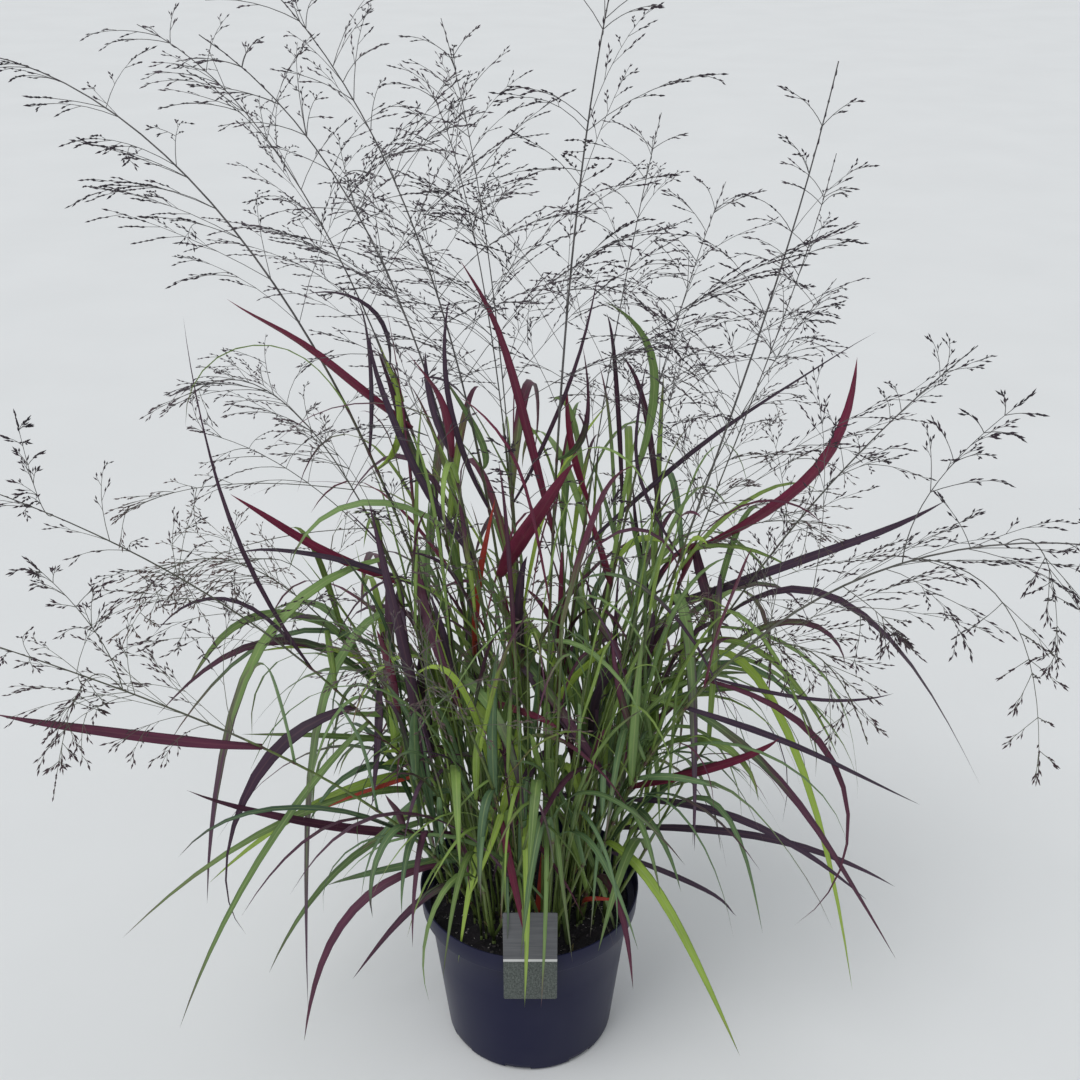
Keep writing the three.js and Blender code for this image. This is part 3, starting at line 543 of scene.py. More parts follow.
def blade_balls(leaf, owner):
    """Three balls side by side across the blade."""
    at, walked, t = places_along(leaf["curve"], BLADE_STOPS)
    wide = leaf["width"] * blade_share(t)
    across = leaf["curve"].frame(t, leaf["aside"])[2]
    rows = [(at + across * (share * wide / 3)[:, None]).tolist() for share in (-1, 0, 1)]
    return [
        (tuple(row[k]), wide[k] / 6 + 1.1, owner, walked[k] < ROOT_NEAR)
        for k in range(len(t))
        for row in rows
    ]


def claim(balls):
    """Takes the space of the balls, so that nothing that grows later may touch them."""
    for ball in balls:
        taken.setdefault(tuple(math.floor(value / CELL) for value in ball[0]), []).append(ball)


def touches(ball, family):
    """Whether a ball meets one already there. By its root it may meet its own family's."""
    (x, y, z), radius, _, near = ball
    low = [math.floor(value / CELL) - 1 for value in (x, y, z)]
    for i in range(low[0], low[0] + 3):
        for j in range(low[1], low[1] + 3):
            for k in range(low[2], low[2] + 3):
                for (p, q, r), other, owner, _ in taken.get((i, j, k), ()):
                    if near and owner.startswith(family):
                        continue
                    if math.dist((x, y, z), (p, q, r)) < other + radius:
                        return True
    return False


def strikes(ball):
    """Whether a ball meets the ground, the pot, its compost or the label."""
    (x, y, z), radius, _, _ = ball
    room = radius + CLEARANCE
    out = math.hypot(x, y)
    if z < room:
        return True
    if out < POT_NECK - POT_WALL - room:
        if z < COMPOST_TOP + LUMP_HEIGHT + room:
            return True
    elif out < POT_RIM + room and z < POT_HEIGHT + room:
        return True
    return (
        CARD_LEFT - room < x < CARD_LEFT + CARD_WIDTH + room
        and CARD_FRONT - room < y < -POT_RIM + TONGUE_REACH + room
        and CARD_FOOT - room < z < CARD_FOOT + CARD_HEIGHT + room
    )


def placed(drawn, balls_of, family):
    """The first draw that finds room takes it. Where none of them does, nothing grows."""
    for _ in range(TRIES):
        found = drawn()
        balls = balls_of(found)
        if any((not ball[3] and strikes(ball)) or touches(ball, family) for ball in balls):
            continue
        claim(balls)
        return found
    return None


def stops_between(first, last, count):
    return [first + (last - first) * k / (count - 1) for k in range(count)]


def drawn_leaf(draw, root, outward, height, standing):
    """A leaf that stands or arches over, a share of them standing."""
    angle = outward + draw(-1.4, 1.4)
    out = heading(angle)
    if draw(0, 1) < standing:
        reaches, lifts, rises = (30, 130), (130, 220), (140, 280)
    else:
        reaches, lifts, rises = (150, 290), (140, 250), (-90, 90)
    size = (1 - 0.5 * max(0, -out[1]) ** 2) * (1 - 0.25 * height)
    reach = size * draw(*reaches)
    bend_out = reach * draw(0.25, 0.5)
    bend = root + out * bend_out + UP * (size * draw(*lifts))
    tip = root + out * reach + UP * (size * draw(*rises))
    width = draw(6.5, 11.5) * (1 - 0.15 * height)
    aside = heading(angle + math.pi / 2 + draw(-0.3, 0.3))
    return {"curve": Curve(root, bend, tip), "width": width, "aside": aside}


# Flowering stems: the foot on the compost, the knee that the stem leans towards, the spray's tip,
# the share of the stem below its spray, and the reach of the spray's lowest branch.
FLOWERING = [
    ((-30, 10), (-210, 50, 940), (-450, 100, 980), 0.55, 190),
    ((-20, 30), (-150, 80, 930), (-330, 130, 1000), 0.55, 190),
    ((0, 0), (-50, 0, 900), (-190, -30, 1050), 0.52, 200),
    ((-15, -15), (-70, -30, 900), (-230, -80, 1020), 0.52, 190),
    ((5, 40), (-30, 110, 860), (-90, 130, 960), 0.5, 180),
    ((15, 5), (25, 0, 850), (65, -10, 1050), 0.52, 240),
    ((40, 20), (110, 60, 720), (175, 120, 870), 0.6, 150),
    ((50, 0), (200, 0, 720), (240, 0, 990), 0.5, 180),
    ((60, 30), (225, 70, 700), (265, 95, 900), 0.5, 160),
    ((50, -40), (220, -150, 690), (420, -265, 706), 0.5, 190),
    ((-50, 0), (-240, -10, 530), (-450, -70, 660), 0.55, 160),
    ((-50, -40), (-200, -110, 430), (-440, -175, 580), 0.68, 160),
    ((-45, 30), (-210, 80, 800), (-330, 110, 660), 0.5, 160),
    ((-60, 20), (-270, 50, 640), (-380, 50, 480), 0.5, 150),
    ((55, -20), (230, -60, 640), (300, -110, 430), 0.5, 140),
    ((65, 10), (250, 30, 620), (390, 30, 750), 0.5, 150),
    ((0, 25), (-20, 60, 850), (-70, 90, 1010), 0.5, 180),
    ((20, 50), (80, 120, 760), (120, 170, 920), 0.5, 160),
    ((45, 45), (180, 130, 640), (290, 160, 770), 0.5, 150),
    ((-10, -50), (-60, -190, 600), (-120, -290, 620), 0.5, 130),
]

# Leaves that give the clump its outline: the stem that bears each, where on it below its spray,
# the point half way, the tip, the width and the tint. The first nine are pieces of their own.
BURGUNDY = 9
MARKED = [
    (1, 0.83, (-173, 15, 740), (-243, -25, 812), 10, "wine"),
    (5, 0.8, (-15, -20, 750), (-50, -50, 855), 9, "wine"),
    (2, 0.67, (5, -50, 620), (40, -90, 695), 13, "wine"),
    (8, 0.94, (255, 25, 630), (280, -5, 750), 13, "wine"),
    (15, 0.96, (296, -20, 515), (430, -60, 345), 10, "plum"),
    (14, 0.96, (285, -90, 380), (265, -140, 215), 11, "maroon"),
    (10, 0.8, (-266, -55, 338), (-300, -105, 168), 13, "plum"),
    (11, 0.96, (-345, -135, 458), (-445, -155, 495), 10, "maroon"),
    (10, 0.26, (-210, -40, 285), (-310, -90, 365), 10, "maroon"),
    (0, 0.8, (-135, 15, 740), (-140, -15, 815), 7, "plum"),
    (1, 0.72, (-115, 35, 685), (-125, 5, 765), 9, "dusky"),
    (1, 0.94, (-135, 50, 775), (-195, 50, 795), 7, "plum"),
    (3, 0.93, (-70, -60, 735), (-95, -90, 790), 8, "wine"),
    (10, 0.97, (-268, -15, 622), (-270, -15, 785), 5, "plum"),
    (2, 0.8, (-65, -35, 725), (-60, -50, 820), 8, "plum"),
    (4, 0.82, (30, 45, 690), (60, 15, 825), 7, "plum"),
    (17, 0.94, (40, 75, 640), (35, 45, 710), 7, "wine"),
    (5, 0.95, (50, -20, 695), (45, -50, 780), 8, "dusky"),
    (6, 0.96, (110, 50, 730), (65, 50, 785), 9, "green"),
    (7, 0.95, (95, 0, 660), (110, 0, 745), 6, "plum"),
    (17, 0.82, (190, 75, 660), (305, 35, 760), 7, "plum"),
    (8, 0.8, (265, 10, 555), (360, -40, 635), 9, "plum"),
    (12, 0.76, (-205, 35, 555), (-265, 5, 620), 9, "wine"),
    (0, 0.56, (-210, 25, 550), (-285, 25, 540), 7, "plum"),
    (13, 0.94, (-260, 15, 485), (-325, -15, 425), 9, "green"),
    (13, 0.8, (-212, 85, 460), (-280, 100, 430), 8, "green"),
    (13, 0.7, (-238, 0, 468), (-345, -50, 420), 10, "dusky"),
    (12, 0.83, (-257, -25, 458), (-320, -45, 190), 10, "olive"),
    (12, 0.7, (-200, -7, 388), (-235, -30, 30), 10, "olive"),
    (13, 0.3, (-220, -35, 295), (-400, -85, 180), 9, "green"),
    (10, 0.74, (-250, -70, 280), (-345, -120, 95), 8, "green"),
    (11, 0.31, (-175, -95, 215), (-225, -125, 80), 9, "maroon"),
    (11, 0.2, (-110, -70, 210), (-175, -100, 140), 8, "dusky"),
    (13, 0.23, (-190, -5, 205), (-270, -35, 85), 8, "green"),
    (15, 0.82, (240, -20, 395), (330, -70, 95), 9, "lime"),
    (14, 0.46, (175, -80, 385), (222, -115, 440), 9, "wine"),
    (14, 0.82, (240, -90, 360), (345, -140, 205), 9, "dusky"),
    (15, 0.22, (240, -20, 250), (365, -50, 215), 8, "plum"),
    (14, 0.41, (212, -57, 300), (328, -87, 230), 8, "plum"),
    (14, 0.22, (170, -45, 210), (200, -75, 200), 8, "plum"),
    (9, 0.29, (130, -110, 245), (205, -150, 90), 10, "lime"),
    (7, 0.83, (145, -50, 500), (155, -90, 295), 11, "olive"),
    (10, 0.45, (-110, -55, 490), (-130, -95, 660), 11, "plum"),
    (0, 0.3, (-75, -30, 480), (-85, -60, 560), 9, "plum"),
    (9, 0.79, (250, -100, 415), (360, -100, 355), 7, "plum"),
]

# The rows of marked leaves that hook over or roll up: how far they hook in radians, and what the
# roll makes of their width at the base and at the tip.
HOOKED = {
    1: (0.1, 0.9, 0.6),
    2: (0.1, 1.3, 1.3),
    5: (0.5, 0.6, 0.35),
    6: (0.6, 1.0, 0.25),
    9: (0.2, 0.6, 0.5),
    10: (0.2, 0.8, 0.6),
    11: (0.3, 0.7, 0.5),
    13: (0.4, 0.9, 0.4),
    14: (0.1, 0.7, 0.6),
    15: (0.1, 0.6, 0.6),
    17: (0.1, 0.9, 0.5),
    19: (0.2, 0.6, 0.6),
    20: (0.0, 0.9, 0.6),
    39: (1.2, 0.7, 0.5),
}

# Leafy shoots without flowers, round the clump's edge.
TUFT_FEET = [(-35, -68), (15, -72), (76, -36), (87, 12), (50, 70), (-5, 74), (-58, 57), (-82, -8)]

# The radius that each kind of strand keeps clear.
STEM_ROOM = 2.6
AXIS_ROOM = 1.9
TWIG_ROOM = 1.7


def leaf_stops(spray):
    """Where a stem bears its drawn leaves."""
    return stops_between(0.1 * spray, 0.88 * spray, 4)


def whorl_stops(spray):
    """Where a spray's axis bears its branches."""
    return stops_between(spray + 0.05 * (1 - spray), 0.88 + 0.12 * spray, 5)


culms = []
for index, (foot, knee, tip, spray, long) in enumerate(FLOWERING):
    name = f"culm_{index + 1:02d}"
    curve = stem_curve(foot, knee, tip)
    claim(round_balls(curve, [0] + leaf_stops(spray) + [spray], STEM_ROOM, name))
    claim(round_balls(curve, [spray] + whorl_stops(spray) + [1], AXIS_ROOM, f"panicle_{index + 1:02d}"))
    culms.append({"name": name, "curve": curve, "spray": spray, "long": long, "leaves": []})


def turned_aside(curve):
    """Square to a leaf that has turned its face partly to the front, towards the light."""
    _, along, level = curve.frame(0.5, curve.aside())
    facing = unit(np.cross(along, (0.0, -0.9, 0.45)))
    return unit(level + (1.5 if level @ facing > 0 else -1.5) * facing)


def hand_set(index, share, middle, tip, width, tint):
    """A leaf placed as given, from one row of such leaves."""
    t = share * culms[index]["spray"]
    curve = arch_through(culms[index]["curve"].at(t), middle, tip)
    leaf = {"curve": curve, "width": width, "aside": turned_aside(curve), "t": t, "tint": tint}
    return {**leaf, "curl": 0.0}


for row, marked in enumerate(MARKED):
    culm = culms[marked[0]]
    leaf = hand_set(*marked)
    leaf["apart"] = row < BURGUNDY
    if row in HOOKED:
        leaf["curl"], *leaf["rolled"] = HOOKED[row]
    claim(blade_balls(leaf, culm["name"] + "/leaf"))
    culm["leaves"].append(leaf)


def drawn_shoot(draw, centre, outward, first, s):
    """The first shoot of a tuft stands in the compost, and the others part from its foot."""
    out = heading(outward + (s - 1) * 0.9 + draw(-0.4, 0.4))
    reach = draw(20, 100)
    tall = draw(200, 400)
    ground = np.array((*centre, float(COMPOST_TOP)))
    knee = ground + out * (0.4 * reach) + UP * (0.6 * tall)
    tip = ground + out * reach + UP * tall
    if first is None:
        return stem_curve(centre, knee, tip)
    root = first.at(0.03)
    return Curve(root, root + out * 22 + UP * 26, knee + out * 14, tip)


shoot_stops = [0.5, 1]
tufts = []
for index, centre in enumerate(TUFT_FEET):
    name = f"tuft_{index + 1:02d}"
    outward = math.atan2(centre[1], centre[0])
    shoots = []
    for s in range(3):
        draw = draws(500 + 3 * index + s)
        owner = f"{name}/{s}"
        first = shoots[0]["curve"] if s else None
        curve = placed(
            lambda: drawn_shoot(draw, centre, outward, first, s),
            lambda found: round_balls(found, [0, 0.03] + shoot_stops, STEM_ROOM, owner, ROOT_NEAR),
            name,
        )
        if curve:
            shoots.append({"curve": curve, "owner": owner, "leaves": []})
    tufts.append({"name": name, "outward": outward, "shoots": shoots})

for index, culm in enumerate(culms):
    lean = bearing(np.array(FLOWERING[index][1], float) - culm["curve"].at(0))
    for k, t in enumerate(leaf_stops(culm["spray"])):
        draw = draws(1000 + 4 * index + k)
        outward = lean + (0.6 if k % 2 else -0.6)
        leaf = placed(
            lambda: drawn_leaf(draw, culm["curve"].at(t), outward, k / 3, 0.45 + 0.4 * k / 3),
            lambda found: blade_balls(found, culm["name"] + "/leaf"),
            culm["name"],
        )
        if leaf:
            culm["leaves"].append({**leaf, "t": t})

for index, tuft in enumerate(tufts):
    for s, shoot in enumerate(tuft["shoots"]):
        for k, t in enumerate(shoot_stops):
            draw = draws(2000 + 2 * (3 * index + s) + k)
            outward = tuft["outward"] + (0.5 if k % 2 else -0.5)
            leaf = placed(
                lambda: drawn_leaf(draw, shoot["curve"].at(t), outward, 0.4 * k, 0.5),
                lambda found: blade_balls(found, shoot["owner"] + "/leaf"),
                shoot["owner"],
            )
            if leaf:
                shoot["leaves"].append({**leaf, "t": t})

# ---------------------------------------------------------------- leaves and stems
# Strap leaves with a sunk midrib and fine parallel veins, green at the base and turning plum and
# wine red from the tip down as the season goes on. Each clasps its stem with a sheath, and the
# stems are round, jointed and waxy. A stem with all its leaves is one piece, as its node is.

LEAF_STOPS = (0, 0.03, 0.07, 0.12, 0.19, 0.27, 0.36, 0.45, 0.54, 0.63, 0.72, 0.8, 0.87, 0.93, 0.97, 1)
CURL_START = 0.6  # the share of a leaf that follows its curve before the rest curls over
CLASP = 0.22  # the share that folds round the stem
SIDES = 8  # of a stem's or a blade's section
STEM_RADIUS = 1.9  # at the foot
EXTRA_LEAVES = 6  # on each stem
FOOT_DEPTH = 18  # how far a stem's foot goes down into the compost

# How far the flush reaches down a leaf, how light it is painted (painted light and shade), how much lime is
# in its green and how much red in its flush, from plum through wine.
TINTS = {
    "red": (1.15, 0.85, 0.60, 1.90),
    "wine": (1.10, 0.60, 0.55, 1.00),
    "maroon": (1.10, 0.35, 0.35, 0.50),
    "plum": (1.05, 0.40, 0.35, 0.10),
    "dusky": (0.66, 0.35, 0.30, 0.40),
    "olive": (0.42, 0.90, 0.35, 0.10),
    "bluish": (0.15, 0.50, 0.05, 0.30),
    "green": (0.20, 0.55, 0.45, 0.30),
    "lime": (0.08, 0.90, 0.95, 0.60),
}

# Finer leaves between the marked ones, listed in the same columns.
FINER = [
    (3, 0.27, (-48, -62, 273), (-71, -92, 151), 10, "lime"),
    (0, 0.38, (-24, -26, 357), (6, -56, 243), 14, "lime"),
    (16, 0.5, (44, -25, 379), (88, -60, 327), 10, "plum"),
    (1, 0.34, (0, -50, 421), (30, -80, 424), 8, "wine"),
    (5, 0.33, (-8, -40, 324), (-37, -65, 230), 9, "plum"),
    (17, 0.13, (43, 13, 314), (62, -6, 224), 9, "lime"),
    (5, 0.24, (28, -45, 247), (43, -70, 103), 11, "green"),
    (5, 0.26, (58, -35, 248), (89, -60, 148), 7, "green"),
    (5, 0.11, (12, -25, 188), (2, -40, 142), 9, "red"),
    (2, 0.21, (0, -50, 238), (-2, -70, 150), 7, "lime"),
    (5, 0.1, (16, -55, 170), (12, -75, 77), 5, "green"),
    (19, 0.52, (-14, -110, 276), (-2, -130, 221), 8, "wine"),
    (9, 0.06, (62, -62, 210), (94, -72, 216), 5, "red"),
    (7, 0.26, (40, -30, 309), (11, -50, 330), 7, "plum"),
    (18, 0.33, (66, -1, 412), (94, -31, 452), 9, "plum"),
    (10, 0.18, (-83, -30, 236), (-126, -50, 234), 9, "green"),
    (12, 0.32, (-104, 23, 327), (-148, 8, 320), 9, "lime"),
    (10, 0.42, (-127, -23, 276), (-166, -43, 255), 8, "green"),
    (12, 0.6, (-102, 17, 385), (-87, 7, 314), 12, "plum"),
    (0, 0.48, (-74, -8, 431), (-62, -18, 399), 10, "wine"),
    (12, 0.35, (-89, 19, 422), (-115, -1, 415), 9, "lime"),
    (0, 0.18, (-55, -6, 360), (-62, -6, 452), 12, "green"),
    (19, 0.64, (-30, -123, 465), (-22, -123, 546), 10, "bluish"),
    (19, 0.68, (-40, -137, 368), (-44, -157, 305), 9, "bluish"),
    (2, 0.3, (6, -10, 386), (11, -10, 465), 9, "bluish"),
    (17, 0.23, (24, 47, 371), (23, 37, 470), 8, "lime"),
    (6, 0.3, (48, 7, 398), (30, -3, 472), 9, "green"),
    (5, 0.41, (47, -16, 443), (76, -36, 490), 9, "lime"),
    (9, 0.49, (96, -90, 453), (101, -90, 535), 10, "green"),
    (9, 0.58, (84, -87, 462), (71, -97, 540), 7, "dusky"),
    (7, 0.48, (106, -10, 421), (149, -40, 452), 9, "green"),
    (7, 0.57, (119, -20, 418), (159, -50, 414), 9, "green"),
    (9, 0.52, (138, -92, 380), (172, -112, 382), 7, "bluish"),
    (15, 0.22, (117, 2, 266), (131, -8, 314), 8, "lime"),
    (8, 0.85, (152, 31, 554), (120, -8, 544), 8, "wine"),
    (1, 0.42, (-44, -17, 544), (-27, -47, 641), 7, "red"),
    (15, 0.93, (282, 20, 420), (339, 20, 266), 5, "green"),
    (14, 0.98, (263, -49, 437), (336, -49, 442), 4, "plum"),
    (1, 0.52, (-66, 6, 551), (-77, -13, 617), 7, "green"),
    (16, 0.65, (-7, 38, 534), (-21, 38, 597), 7, "green"),
    (16, 0.53, (-8, -24, 527), (0, -44, 584), 9, "plum"),
    (6, 0.75, (105, 46, 553), (135, 46, 546), 7, "lime"),
    (0, 0.77, (-113, 33, 674), (-129, 33, 749), 8, "lime"),
    (6, 0.7, (68, 3, 558), (50, -16, 623), 7, "wine"),
    (18, 0.85, (107, 79, 529), (98, 79, 598), 7, "plum"),
    (3, 0.94, (-80, -39, 727), (-81, -49, 774), 6, "plum"),
    (2, 0.88, (-41, -2, 675), (-73, -2, 738), 7, "green"),
    (3, 0.73, (-108, -24, 684), (-125, -34, 786), 7, "plum"),
    (15, 0.85, (264, 19, 400), (335, 19, 279), 5, "green"),
    (10, 0.98, (-271, -15, 522), (-349, -15, 485), 4, "plum"),
    (12, 0.24, (-176, 5, 294), (-325, -24, 196), 10, "lime"),
    (13, 0.5, (-173, 7, 354), (-280, -2, 365), 7, "green"),
    (13, 0.72, (-182, 22, 445), (-269, 12, 448), 7, "lime"),
    (13, 0.74, (-192, 22, 474), (-229, 12, 483), 9, "olive"),
    (10, 0.15, (-133, -20, 214), (-202, -40, 207), 9, "bluish"),
    (11, 0.19, (-101, -68, 215), (-158, -88, 157), 7, "dusky"),
    (13, 0.43, (-123, -3, 334), (-142, -23, 343), 9, "lime"),
    (12, 0.46, (-141, 12, 378), (-181, -7, 396), 9, "green"),
    (10, 0.51, (-156, -24, 313), (-201, -44, 305), 5, "red"),
    (11, 0.51, (-121, -89, 338), (-130, -99, 367), 7, "maroon"),
    (13, 0.7, (-146, -8, 361), (-153, -28, 297), 9, "plum"),
    (15, 0.7, (168, 7, 426), (215, -2, 433), 6, "green"),
    (15, 0.68, (188, -2, 417), (225, -22, 424), 9, "green"),
    (18, 0.64, (70, 25, 408), (68, 5, 339), 8, "plum"),
    (8, 0.24, (98, 4, 364), (118, -15, 457), 9, "bluish"),
    (18, 0.26, (70, 35, 354), (106, 15, 449), 8, "bluish"),
    (17, 0.7, (79, 19, 458), (96, -10, 418), 8, "dusky"),
    (8, 0.96, (165, 15, 515), (181, -14, 479), 10, "maroon"),
    (18, 0.83, (125, 47, 513), (150, 27, 558), 7, "dusky"),
    (8, 0.59, (113, -6, 474), (116, -16, 512), 9, "plum"),
    (12, 0.32, (-106, -2, 347), (-142, -22, 357), 9, "lime"),
    (12, 0.75, (-116, -7, 463), (-88, -37, 353), 12, "plum"),
    (0, 0.60, (-88, -33, 501), (-60, -63, 432), 11, "maroon"),
    (2, 0.38, (-18, -80, 357), (-56, -120, 260), 9, "lime"),
    (0, 0.41, (-27, -65, 424), (-3, -100, 343), 11, "olive"),
    (5, 0.45, (22, -76, 354), (42, -106, 172), 9, "green"),
    (17, 0.09, (37, -27, 345), (62, -37, 237), 8, "lime"),
    (4, 0.48, (40, -42, 403), (85, -72, 339), 10, "dusky"),
    (8, 0.84, (159, 11, 406), (167, -8, 226), 8, "dusky"),
    (2, 0.3, (-1, -117, 291), (-4, -126, 124), 8, "lime"),
    (5, 0.24, (17, -117, 282), (12, -124, 127), 5, "green"),
]

# The shaded and the lit tint of each leaf colour, for painted shade and painted light; for the stems, the
# dark and light tints of their mottling.
BLUISH_GREEN = ((0.042, 0.090, 0.050), (0.155, 0.265, 0.120))
LIME_GREEN = ((0.092, 0.152, 0.032), (0.340, 0.490, 0.065))
PLUM = ((0.022, 0.009, 0.028), (0.088, 0.048, 0.084))
WINE = ((0.062, 0.004, 0.020), (0.250, 0.014, 0.058))
LOWER_STEM = ((0.075, 0.115, 0.025), (0.150, 0.210, 0.050))
UPPER_STEM = ((0.040, 0.040, 0.034), (0.080, 0.070, 0.062))
BRIGHT_RED = (0.420, 0.045, 0.018)
GREEN_MIDRIB = (0.42, 0.50, 0.20)
RED_MIDRIB = (0.32, 0.16, 0.14)
STRAW = (0.46, 0.34, 0.17)
JOINT = (0.070, 0.022, 0.030)

# The lime shares that leaves of each slot are drawn between.
GREENS = {"leaf_green": (0.25, 0.75), "leaf_lime": (0.6, 1.0), "leaf_blue_green": (0.0, 0.35)}
LEAF_SLOTS = tuple(GREENS)


def blade_markings():
    """The mottling, midrib, veins and edges of a blade, from the place along and across it."""
    inputs = {name: "Float" for name in ("Along", "Across", "Seed")}
    outputs = {name: "Float" for name in ("Mottle", "Midrib", "Veins", "Edge")}
    group, given, result = node_group("Blade markings", inputs, outputs)
    place = {
        0: sums(group, "MULTIPLY", given["Across"], 1.3),
        1: sums(group, "MULTIPLY", given["Along"], 7.0),
        2: sums(group, "MULTIPLY", given["Seed"], 60.0),
    }
    lengthwise = add_node(group, "ShaderNodeCombineXYZ", place)
    middle = sums(group, "ABSOLUTE", given["Across"])
    veins = sums(group, "SINE", sums(group, "MULTIPLY", given["Across"], 34.0))
    group.links.new(speckle(group, lengthwise.outputs[0], 1.0, 3), result["Mottle"])
    group.links.new(span(group, middle, 0.16, 0.04), result["Midrib"])
    group.links.new(veins, result["Veins"])
    group.links.new(span(group, middle, 0.62, 1.0), result["Edge"])
    return group


def blade_colour(tree, light_and_tone, towards, first, second):
    """Blends two colours, each a pair of a shaded and a lit tint, and then the shaded and the lit blend:
    painted shade and painted light.
    """
    shaded, lit = (blend_colours(tree, towards, *pair) for pair in zip(first, second))
    return blend_colours(tree, light_and_tone, shaded, lit)


def blade_finish():
    """A satin blade: bluish to lime green, flushed plum, wine or red from its tip, and dry straw, with
    painted light and shade between shaded and lit tints.
    """
    finish, tree, shader, _ = new_finish("grass_blade")
    along, across, seed = (attribute(tree, name) for name in ("along", "across", "seed"))
    place = {"Along": along, "Across": across, "Seed": seed}
    marks = add_node(tree, "ShaderNodeGroup", place, node_tree=blade_markings()).outputs
    # Painted light and shade: the leaf's painted lightness, with random tone from the mottle.
    light_and_tone = span(tree, marks["Mottle"], 0.3, 0.7, -0.20, 0.20)
    light_and_tone = sums(tree, "ADD", attribute(tree, "light"), light_and_tone)
    lime, wine = attribute(tree, "lime"), attribute(tree, "wine")
    green = blade_colour(tree, light_and_tone, lime, BLUISH_GREEN, LIME_GREEN)
    green = blend_colours(tree, sums(tree, "MULTIPLY", marks["Midrib"], 0.35), green, GREEN_MIDRIB)
    red = blade_colour(tree, light_and_tone, wine, PLUM, WINE)
    red = blend_colours(tree, span(tree, wine, 1.0, 2.0), red, BRIGHT_RED)
    red = blend_colours(tree, sums(tree, "MULTIPLY", marks["Midrib"], 0.12), red, RED_MIDRIB)
    front = sums(tree, "ADD", along, span(tree, marks["Mottle"], 0.3, 0.7, -0.16, 0.16))
    front = sums(tree, "ADD", front, sums(tree, "MULTIPLY", marks["Edge"], 0.10))
    front = sums(tree, "ADD", front, sums(tree, "MULTIPLY", attribute(tree, "flush"), 1.35))
    colour = blend_colours(tree, span(tree, front, 1.0, 1.42, smooth=True), green, red)
    surface = {
        "Base Color": blend_colours(tree, attribute(tree, "dry"), colour, STRAW),
        "Roughness": span(tree, marks["Mottle"], 0.3, 0.7, 0.42, 0.58),
        "Normal": relief(tree, marks["Veins"], 0.35, 0.0002),
        "Specular IOR Level": 0.4,
    }
    fill_sockets(tree, shader, surface)
    return finish


def stem_finish():
    """A waxy stem, green below and greyer above, with a dark ring at each joint."""
    finish, tree, shader, where = new_finish("waxy_stem")
    rise = span(tree, height_of(tree, where), 0.40, 0.75)
    tints = [blend_colours(tree, rise, *pair) for pair in zip(LOWER_STEM, UPPER_STEM)]
    colour, streak = mottled(tree, stretched(tree, where, (300, 300, 14)), 1, 2, (0.35, 0.65), tints)
    surface = {
        "Base Color": blend_colours(tree, attribute(tree, "joint"), colour, JOINT),
        "Roughness": span(tree, streak, 0.3, 0.7, 0.38, 0.55),
        "Normal": relief(tree, streak, 0.2, 0.0003),
    }
    fill_sockets(tree, shader, surface)
    return finish


PLANT_FINISHES = [blade_finish(), stem_finish()]


def plant_bmesh():
    """A bmesh whose vertices keep their place on a blade or stem, and the blade's tint and painted light.
    """
    bm = bmesh.new()
    for name in ("along", "across", "joint", "seed", "flush", "light", "lime", "wine", "dry"):
        bm.verts.layers.float.new(name)
    return bm


def carry(at, along, across, wide, shaded):
    """The matrix that carries a ring about the Z axis to a place on a curve."""
    above = np.cross(along, across)
    columns = (across * wide, above * shaded, along)
    return Matrix([[columns[c][r] for c in range(3)] + [at[r]] for r in range(3)] + [[0, 0, 0, 1]])


def grow_ring(bm, edges):
    """Extrudes a ring's edges in place, and gives the new ones and their corners."""
    grown = bmesh.ops.extrude_edge_only(bm, edges=edges)["geom"]
    ring = [item for item in grown if isinstance(item, bmesh.types.BMVert)]
    return [item for item in grown if isinstance(item, bmesh.types.BMEdge)], ring


def sweep(bm, shape_ring, carries, values, slot, tip=None):
    """Extrudes a ring of corners from place to place, and closes it at both ends. A layer's value
    is one number for the whole length, or a list with one for each place.
    """
    layers = bm.verts.layers.float
    ring = bmesh.ops.create_circle(bm, segments=SIDES, radius=1)["verts"]
    for vert in ring:
        shape_ring(vert, layers["across"])
        for name, value in values.items():
            vert[layers[name]] = value[0] if isinstance(value, list) else value
    edges = list({edge for vert in ring for edge in vert.link_edges})
    bmesh.ops.contextual_create(bm, geom=edges)
    bmesh.ops.transform(bm, matrix=carries[0], verts=ring)
    changing = [(layers[name], value) for name, value in values.items() if isinstance(value, list)]
    for k in range(1, len(carries)):
        edges, ring = grow_ring(bm, edges)
        bmesh.ops.transform(bm, matrix=carries[k] @ carries[k - 1].inverted(), verts=ring)
        for vert in ring:
            for layer, value in changing:
                vert[layer] = value[k]
            for face in vert.link_faces:
                face.material_index = slot
    if tip is None:
        bmesh.ops.contextual_create(bm, geom=edges)
    else:
        bmesh.ops.pointmerge(bm, verts=ring, merge_co=tip)


def lens(vert, across):
    """A thin blade's section, with its edges raised above its midrib."""
    vert[across] = vert.co.x
    vert.co.y = 0.075 * vert.co.y + 0.16 * abs(vert.co.x)


def round_section(vert, across):
    """A stem's section, which stays the circle that it is."""
    vert[across] = 0.0


